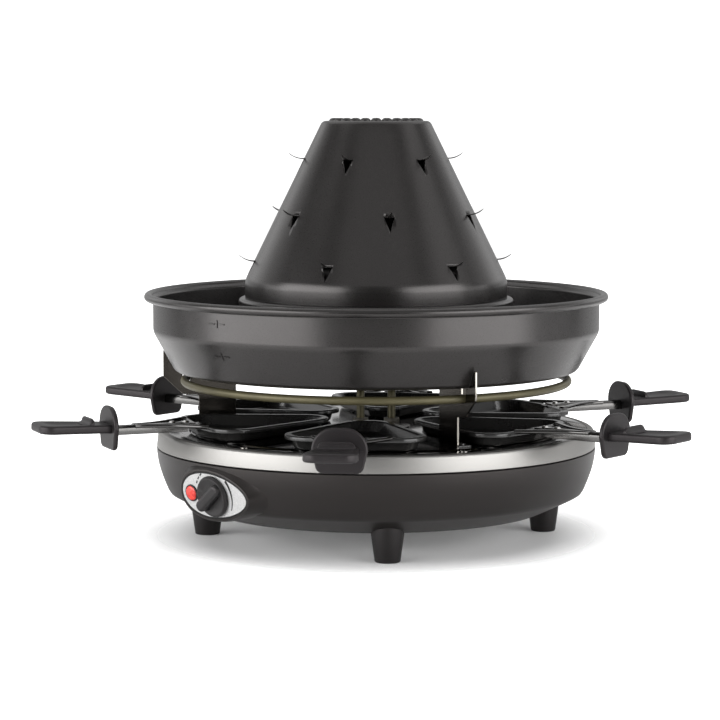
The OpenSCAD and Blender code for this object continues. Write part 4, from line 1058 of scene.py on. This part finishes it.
def make_heater():
    """One tube: up from the base, out to the back and all the way round under the broth pan."""
    elbow_x = LEG_X + BEND_R
    elbow_y = sqrt((HEATER_R - BEND_R) ** 2 - elbow_x**2)
    gap = atan2(elbow_x, elbow_y)
    top = HEATER_Z - BEND_R
    leg = [Vector((LEG_X, 0, LEG_FOOT_Z)), Vector((LEG_X, 0, LEG_BEND_Z))]
    leg += bend((LEG_X, BEND_R, top), (0, -1, 0), (0, 0, 1), pi / 2)
    leg += bend((elbow_x, elbow_y, HEATER_Z), (-1, 0, 0), (0, 1, 0), pi / 2 + gap)
    steps = 180
    ring = []
    for k in range(1, steps):
        t = pi / 2 - gap - (2 * pi - 2 * gap) * k / steps
        ring.append(Vector((HEATER_R * cos(t), HEATER_R * sin(t), HEATER_Z)))
    back = [Vector((-p.x, p.y, p.z)) for p in reversed(leg)]
    dress(tube("ring_heater", leg + ring + back, TUBE_R), "base", "heater_sheath", "heater_tube")


def make_brackets():
    """Three sheet brackets with a slot for the heater and a finger outside the broth pan."""
    top = PAN_Z - 0.3
    slot = TUBE_R + 0.3
    tip = PAN_Z + FINGER_H
    seat = PAN_BOTTOM_R + FINGER_GAP
    finger_in = seat + (PAN_WALL_R - PAN_BOTTOM_R) / PAN_SLANT * FINGER_H
    finger_out = finger_in + FINGER_W
    points = [
        (BRACKET_IN, DECK_Z), (BRACKET_OUT, DECK_Z), (BRACKET_OUT, ARM_Z), (BRACKET_OUT + ARM_L, ARM_Z),
        (finger_out, ARM_Z + ARM_RISE), (finger_out, tip), (finger_in, tip), (seat, top),
        (HEATER_R + slot, top), (HEATER_R + slot, HEATER_Z - slot), (HEATER_R - slot, HEATER_Z - slot),
        (HEATER_R - slot, top), (BRACKET_IN, top),
    ]
    outline = rounded(points, [0, 0, 2, 2, 3, 1.3, 1.3, 0.3, 0.5, slot - 0.1, slot - 0.1, 0.5, 3], 6)
    half = BRACKET_SHEET / 2
    web = plate("web", outline, -half, half, 0.25, Matrix.Rotation(pi / 2, 4, "X"))
    wide = half + TAB_W
    corners = [(BRACKET_IN, -half), (BRACKET_OUT, -half), (BRACKET_OUT, wide), (BRACKET_IN, wide)]
    tab = plate("tab", rounded(corners, [0.2, 0.2, 2.5, 2.5]), DECK_Z, DECK_Z + BRACKET_SHEET, 0.25)
    # Dark steel on the flat faces and lighter steel on the cut edges: painted shade on the faces.
    paint(web, BRACKET, CUT_EDGE)
    flat_face = 0.9
    for face in web.data.polygons:
        face.material_index = int(abs(face.normal.y) < flat_face)
    # The tab takes the black dish coat, painted shade under the broth pan.
    paint(tab, DISH)
    pattern = join("bracket_pattern", [web, tab])
    for k in range(BRACKET_COUNT):
        place = at_azimuth(BRACKET_AZIMUTH + 2 * pi * k / BRACKET_COUNT)
        piece = copy_at(pattern, f"bracket_{k + 1}_polished", place)
        dress(piece, "base", "bracket_steel", f"bracket_{k + 1}")
    bpy.data.objects.remove(pattern)


def make_screws():
    """Domed screw heads with a cross recess, in the tray, the heater flange and the bracket tabs."""
    section = [(0, -1.5), (1.7, -1.5), (1.7, 0), (3.2, 0), (3, 1.2), (0, 1.75)]
    head = lathe("screw_head", rounded(section, [0, 0, 0, 0.2, 0.6, 0], 5), segments=48)
    arm, slit = 2, 0.35
    cross = [
        (-arm, -slit), (-slit, -slit), (-slit, -arm), (slit, -arm), (slit, -slit), (arm, -slit),
        (arm, slit), (slit, slit), (slit, arm), (-slit, arm), (-slit, slit), (-arm, slit),
    ]
    cut(head, plate("cross", cross, 0.7, 3))
    pitch = (LEDGE_R + TRAY_R) / 2
    # These heads take the tray's darkened finish: painted shade instead of bright steel.
    tray = [ring_of("tray_heads", head, PAN_COUNT, pitch, DECK_Z, GAP_AZIMUTH, TRAY),
            ring_of("flange_heads", head, 2, FLANGE_PITCH_R, DECK_Z + FLANGE_T, 0, TRAY)]
    dress(join("tray_screw_heads", tray), "base", "screw_steel", "tray_screws")
    tabs = []
    aside = (BRACKET_SHEET + TAB_W) / 2
    for r in (BRACKET_IN + TAB_SCREW_INSET, BRACKET_OUT - TAB_SCREW_INSET):
        first = BRACKET_AZIMUTH + atan2(aside, r)
        level = DECK_Z + BRACKET_SHEET
        # These heads take the black dish coat: painted shade instead of bright steel.
        tabs.append(ring_of(f"tab_heads_{r}", head, BRACKET_COUNT, hypot(r, aside), level, first, DISH))
    dress(join("bracket_screw_heads", tabs), "base", "screw_steel", "bracket_screws")
    bpy.data.objects.remove(head)


# Small pans, made along +X
DISH_TIP = 48.5
DISH_OUT = 153.5
DISH_BULGE = 4
DISH_W = 101
DISH_CORNER = 17.5
DISH_DRAFT = 3
DISH_SHEET = 1.2
DISH_FLOOR = 6
LIP_W = 4.5
LIP_H = 3.4
TONGUE_L = 18
TONGUE_W = 7.4
DISH_RIM = DISH_OUT + DISH_BULGE + LIP_W
STEM_SHEET = 1.1
STEM_Z = RIM_Z + STEM_SHEET
STEM_W = 10
STEM_H = 7.4
FORK_W = 64
FORK_END = DISH_OUT + DISH_BULGE + 45
PRONG_W = 5
PRONG_LOW = RIM_Z - 1.4
PRONG_HIGH = STEM_Z + 0.5
PRONG_EDGE = 1.3
GUARD_R = 227
GUARD_T = 4
GUARD_W = 42
GUARD_H = 34
GRIP_W = 43
NECK_W = 28
GRIP_T = 6.8
GRIP_Z = RIM_Z + STEM_SHEET / 2 - 0.7
GRIP_TILT = 2.2 * DEG
BLADE_L = 58
STOP_X = 14
STOP_T = 2.6
STOP_H = 4.8
STOP_SWEEP = 5
STOP_SHOULDER = 5
HOLLOW_X = 33
HOLLOW_R = 10.5
ALONG_X = Matrix(((0, 0, 1, 0), (1, 0, 0, 0), (0, 1, 0, 0), (0, 0, 0, 1)))


def dish_outline(grow):
    """Outline of a dish with a round tip and a swelling outer side, grown by a margin."""
    out, half = DISH_OUT - DISH_CORNER, DISH_W / 2 - DISH_CORNER
    centres = [(DISH_TIP + DISH_CORNER, 0), (out, -half), (out + DISH_BULGE, 0), (out, half)]
    return around(centres, DISH_CORNER + grow, 20)


def make_dish():
    """Pressed dish with a drafted wall, a turned-down rim and the tongue under its stem."""
    skirt, under = LIP_W - DISH_SHEET, RIM_Z - DISH_SHEET
    foot, inside, floor = -DISH_DRAFT, -DISH_DRAFT - DISH_SHEET, DISH_Z + DISH_SHEET
    section = [
        (foot - DISH_FLOOR, DISH_Z), (foot, DISH_Z), (-0.3, under), (skirt, under), (skirt, RIM_Z - LIP_H),
        (LIP_W, RIM_Z - LIP_H), (LIP_W, RIM_Z), (-DISH_SHEET, RIM_Z), (inside, floor),
        (inside - DISH_FLOOR, floor),
    ]
    levels = rounded(section, [0, 2.4, 0.8, 0.3, 0.4, 0.4, 1.1, 1.6, 2.2, 0], 6)
    pressed = loft("pressed", [[(*p, z) for p in dish_outline(grow)] for grow, z in levels])
    end, half = DISH_RIM + TONGUE_L, TONGUE_W / 2
    tongue = rounded([(DISH_OUT, -half), (end, -half), (end, half), (DISH_OUT, half)], [0, 1, 1, 0])
    return join("dish_pattern", [pressed, plate("tongue", tongue, under, RIM_Z - 0.02, 0.2)])


def bar(name, path, width, low, high, edge):
    """Flat bar of even width along a path in the plane."""
    points = [Vector(p) for p in path]
    sides = [(p, Vector((-along.y, along.x)) * width / 2) for p, along in zip(points, headings(points))]
    outline = [p - side for p, side in sides] + [p + side for p, side in reversed(sides)]
    return plate(name, outline, low, high, edge)


def make_stem():
    """Folded chrome channel whose forked end holds the dish by its rim."""
    half = STEM_W / 2
    low = STEM_Z - STEM_H
    inner = half - STEM_SHEET
    web = STEM_Z - STEM_SHEET
    corners = [
        (-half, low), (-inner, low), (-inner, web), (inner, web), (inner, low), (half, low), (half, STEM_Z),
        (-half, STEM_Z),
    ]
    section = rounded(corners, [0.3, 0.3, 2.1, 2.1, 0.3, 0.3, 3.2, 3.2])
    parts = [plate("channel", section, DISH_RIM + 3, GUARD_R + 1, place=ALONG_X, sharp=50)]
    spine = [(DISH_RIM - 3, 0), (DISH_RIM + 6, 0)]
    parts.append(bar("spine", spine, STEM_W + 2, RIM_Z, STEM_Z - 0.02, 0.3))
    start = Vector((DISH_OUT + 2.5, FORK_W / 2 - PRONG_W / 2))
    lead = Vector((DISH_OUT + 13, FORK_W / 2 - 6))
    trail = Vector((FORK_END - 22, half - PRONG_W / 2 + 2))
    end = Vector((FORK_END + 6, half - PRONG_W / 2 + 1))
    steps = 24
    for side in (-1, 1):
        path = []
        for k in range(steps + 1):
            s = k / steps
            p = (1 - s) ** 3 * start + 3 * s * (1 - s) ** 2 * lead + 3 * s**2 * (1 - s) * trail + s**3 * end
            path.append((p.x, side * p.y))
        parts.append(bar(f"prong_{side}", path, PRONG_W, PRONG_LOW, PRONG_HIGH, PRONG_EDGE))
    return join("stem_pattern", parts)


def radial(outline, centre):
    """Convex outline sampled at even angles around a point."""
    made = []
    for t in full_turn(160):
        ray = unit(t)
        best = 0
        for i, a in enumerate(outline):
            b = outline[(i + 1) % len(outline)]
            p, q = a - centre, b - a
            cross = ray.x * q.y - ray.y * q.x
            if abs(cross) > 1e-9:
                s = (p.x * q.y - p.y * q.x) / cross
                u = (p.x * ray.y - p.y * ray.x) / cross
                if -1e-6 <= u <= 1 + 1e-6:
                    best = max(best, s)
        made.append(centre + ray * best)
    return made


def thumb_stop(place):
    """Wall across a grip with round shoulders, swept into the blade on the tip's side."""
    face, half = GRIP_T / 2, NECK_W / 2
    root, top = face - 0.3, face + STOP_H
    out = STOP_X + STOP_T
    end = out + STOP_SWEEP
    section = [(STOP_X, 0), (end, 0), (end, root), (out, root), (out, top), (STOP_X, top)]
    profile = rounded(section, [0, 0, 0, 3.6, 1.2, 1.2])
    steps = 32
    rings = []
    for k in range(steps + 1):
        y = -half * cos(pi * k / steps)
        past = max(0, abs(y) - half + STOP_SHOULDER)
        share = 1 - (STOP_SHOULDER - sqrt(STOP_SHOULDER**2 - past**2)) / STOP_SHOULDER
        rings.append([(x, y, z if z < face else face + (z - face) * share) for x, z in profile])
    return loft("thumb_stop", rings, place, 60)


def make_grip():
    """Paddle with a thumb hollow and a thumb stop, behind a domed hand guard."""
    foot = dome = 0.4 * GUARD_W
    half, up = GUARD_W / 2, GUARD_H / 2
    corners = [(-foot, -up), (foot, -up), (half, 0), (half, up), (-half, up), (-half, 0)]
    guard = rounded(corners, [6, 6, 1.5, dome, dome, 1.5], 12)
    parts = [plate("guard", guard, 0, GUARD_T, 1.5, Matrix.Translation((GUARD_R, 0, GRIP_Z)) @ ALONG_X)]
    place = Matrix.Translation((GUARD_R + GUARD_T, 0, GRIP_Z)) @ Matrix.Rotation(-GRIP_TILT, 4, "Y")
    centre = Vector((HOLLOW_X, 0))
    face = GRIP_T / 2
    corners = [(-1, -NECK_W / 2), (BLADE_L, -GRIP_W / 2), (BLADE_L, GRIP_W / 2), (-1, NECK_W / 2)]
    blade = radial(rounded(corners, [0, 10, 10, 0], 16), centre)
    hollow = radial(around([(29, -3), (40, -5), (40, 5), (29, 3)], HOLLOW_R, 16), centre)
    rings = [[(*p, z) for p in inset_outline(blade, inset)] for inset, z in edge_levels(-face, face, 2, 6)]
    for inset, drop in ((-1.2, 0), (-0.3, 0.06), (0.6, 0.25), (2, 0.65), (4, 1.1), (6.5, 1.45), (9, 1.6)):
        rings.append([(*p, face - drop) for p in inset_outline(hollow, inset)])
    parts.append(loft("blade", rings, place, 60))
    parts.append(thumb_stop(place))
    return join("grip_pattern", parts)


def make_small_pans():
    """Six small pans in their bays."""
    patterns = ((make_dish(), "dish", "dish_coating"), (make_stem(), "stem", "stem_chrome"),
                (make_grip(), "grip", "grip_plastic"))
    for k in range(PAN_COUNT):
        place = at_azimuth(PAN_AZIMUTH + k * PAN_STEP)
        for pattern, kind, slot in patterns:
            piece = copy_at(pattern, f"{kind}_{k + 1}_formed", place)
            dress(piece, f"small_pan_{k + 1}", slot, f"{kind}_{k + 1}")
    for pattern, *_ in patterns:
        bpy.data.objects.remove(pattern)


make_hat()
make_broth_pan()
make_housing()
make_feet()
make_ring_and_tray()
make_panel()
make_knob()
make_heater()
make_brackets()
make_screws()
make_small_pans()

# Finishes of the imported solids, of which those that no piece replaces stay in view
for part in frame["record"]["subparts"]:
    for held in frame["nodes"][part["node"]].material_slots:
        held.material = FINISHES[part["material_slot"]]

# Studio
scene = bpy.context.scene
scene.view_settings.view_transform = "Standard"
world = bpy.data.worlds.new("studio")
world.use_nodes = True
sky = world.node_tree.nodes["Background"]
sky.inputs["Color"].default_value = (1, 1, 1, 1)
sky.inputs["Strength"].default_value = 0.06
scene.world = world

TABLE_R = 1250
TABLE_T = 20
floor = lathe("floor", [(0, -TABLE_T), (TABLE_R, -TABLE_T), (TABLE_R, 0), (0, 0)], segments=128)
paint(floor, FLOOR)


MIDDLE = (0, 0, 0.2)
LOW = (0, 0, 0.1)


def softbox(name, at, size, power, aim=MIDDLE):
    """Area light that faces a point."""
    lamp = bpy.data.lights.new(name, "AREA")
    lamp.shape = "RECTANGLE"
    lamp.size, lamp.size_y = size
    lamp.energy = power
    held = put(name, lamp)
    held.location = at
    held.rotation_euler = (Vector(aim) - Vector(at)).to_track_quat("-Z", "Y").to_euler()
    held.visible_camera = False


softbox("top", at=(0, 0.9, 2.4), size=(5.0, 3.4), power=55, aim=(0, 0.6, 0))
softbox("left", at=(-1.89, -1.13, 0.42), size=(2.6, 1.7), power=78)
softbox("right", at=(1.76, -1.32, 0.42), size=(2.3, 1.7), power=66)
softbox("back", at=(0, 3.2, 0.7), size=(10.0, 2.6), power=44)
softbox("front_high", at=(0, -2.4, 2.6), size=(4.0, 1.6), power=14)
softbox("right_high", at=(2.4, -0.4, 1.9), size=(1.6, 1.2), power=5)
softbox("far_left", at=(-2.2, 1.6, 1.1), size=(2.4, 1.2), power=6)
softbox("low_left", at=(-2.5, 0.35, 0.35), size=(1.2, 0.7), power=5, aim=LOW)
softbox("low_right", at=(2.5, 0.35, 0.35), size=(1.2, 0.7), power=4, aim=LOW)
softbox("far_right", at=(2.2, 1.6, 1.1), size=(2.4, 1.2), power=6)

# White sweep all round, which glows for the camera but stays out of reflections
SWEEP_IN = 130
SWEEP_R = 7000
SWEEP_T = 50
SWEEP_Z = 0.2
sweep_back = SWEEP_R + SWEEP_T
sweep = [(SWEEP_IN, SWEEP_Z), (SWEEP_R, SWEEP_Z), (SWEEP_R, SWEEP_R), (sweep_back, SWEEP_R),
         (sweep_back, -SWEEP_T), (SWEEP_IN, -SWEEP_T)]
backdrop = lathe("backdrop", sweep, segments=128)
paint(backdrop, BACKDROP)
backdrop.visible_glossy = False
backdrop.visible_diffuse = False
backdrop.visible_shadow = False

# Camera, fitted to the circles in the photo
LOOK_DOWN = 0.0993
LOOK_ASIDE = 0.0064
eye = bpy.data.cameras.new("eye")
eye.lens = 125.85
eye.sensor_width = 36
eye.clip_end = 100
camera = put("eye", eye)
camera.location = (0, -2.05744, 0.34776)
camera.rotation_euler = (pi / 2 - LOOK_DOWN, 0, LOOK_ASIDE)
scene.camera = camera
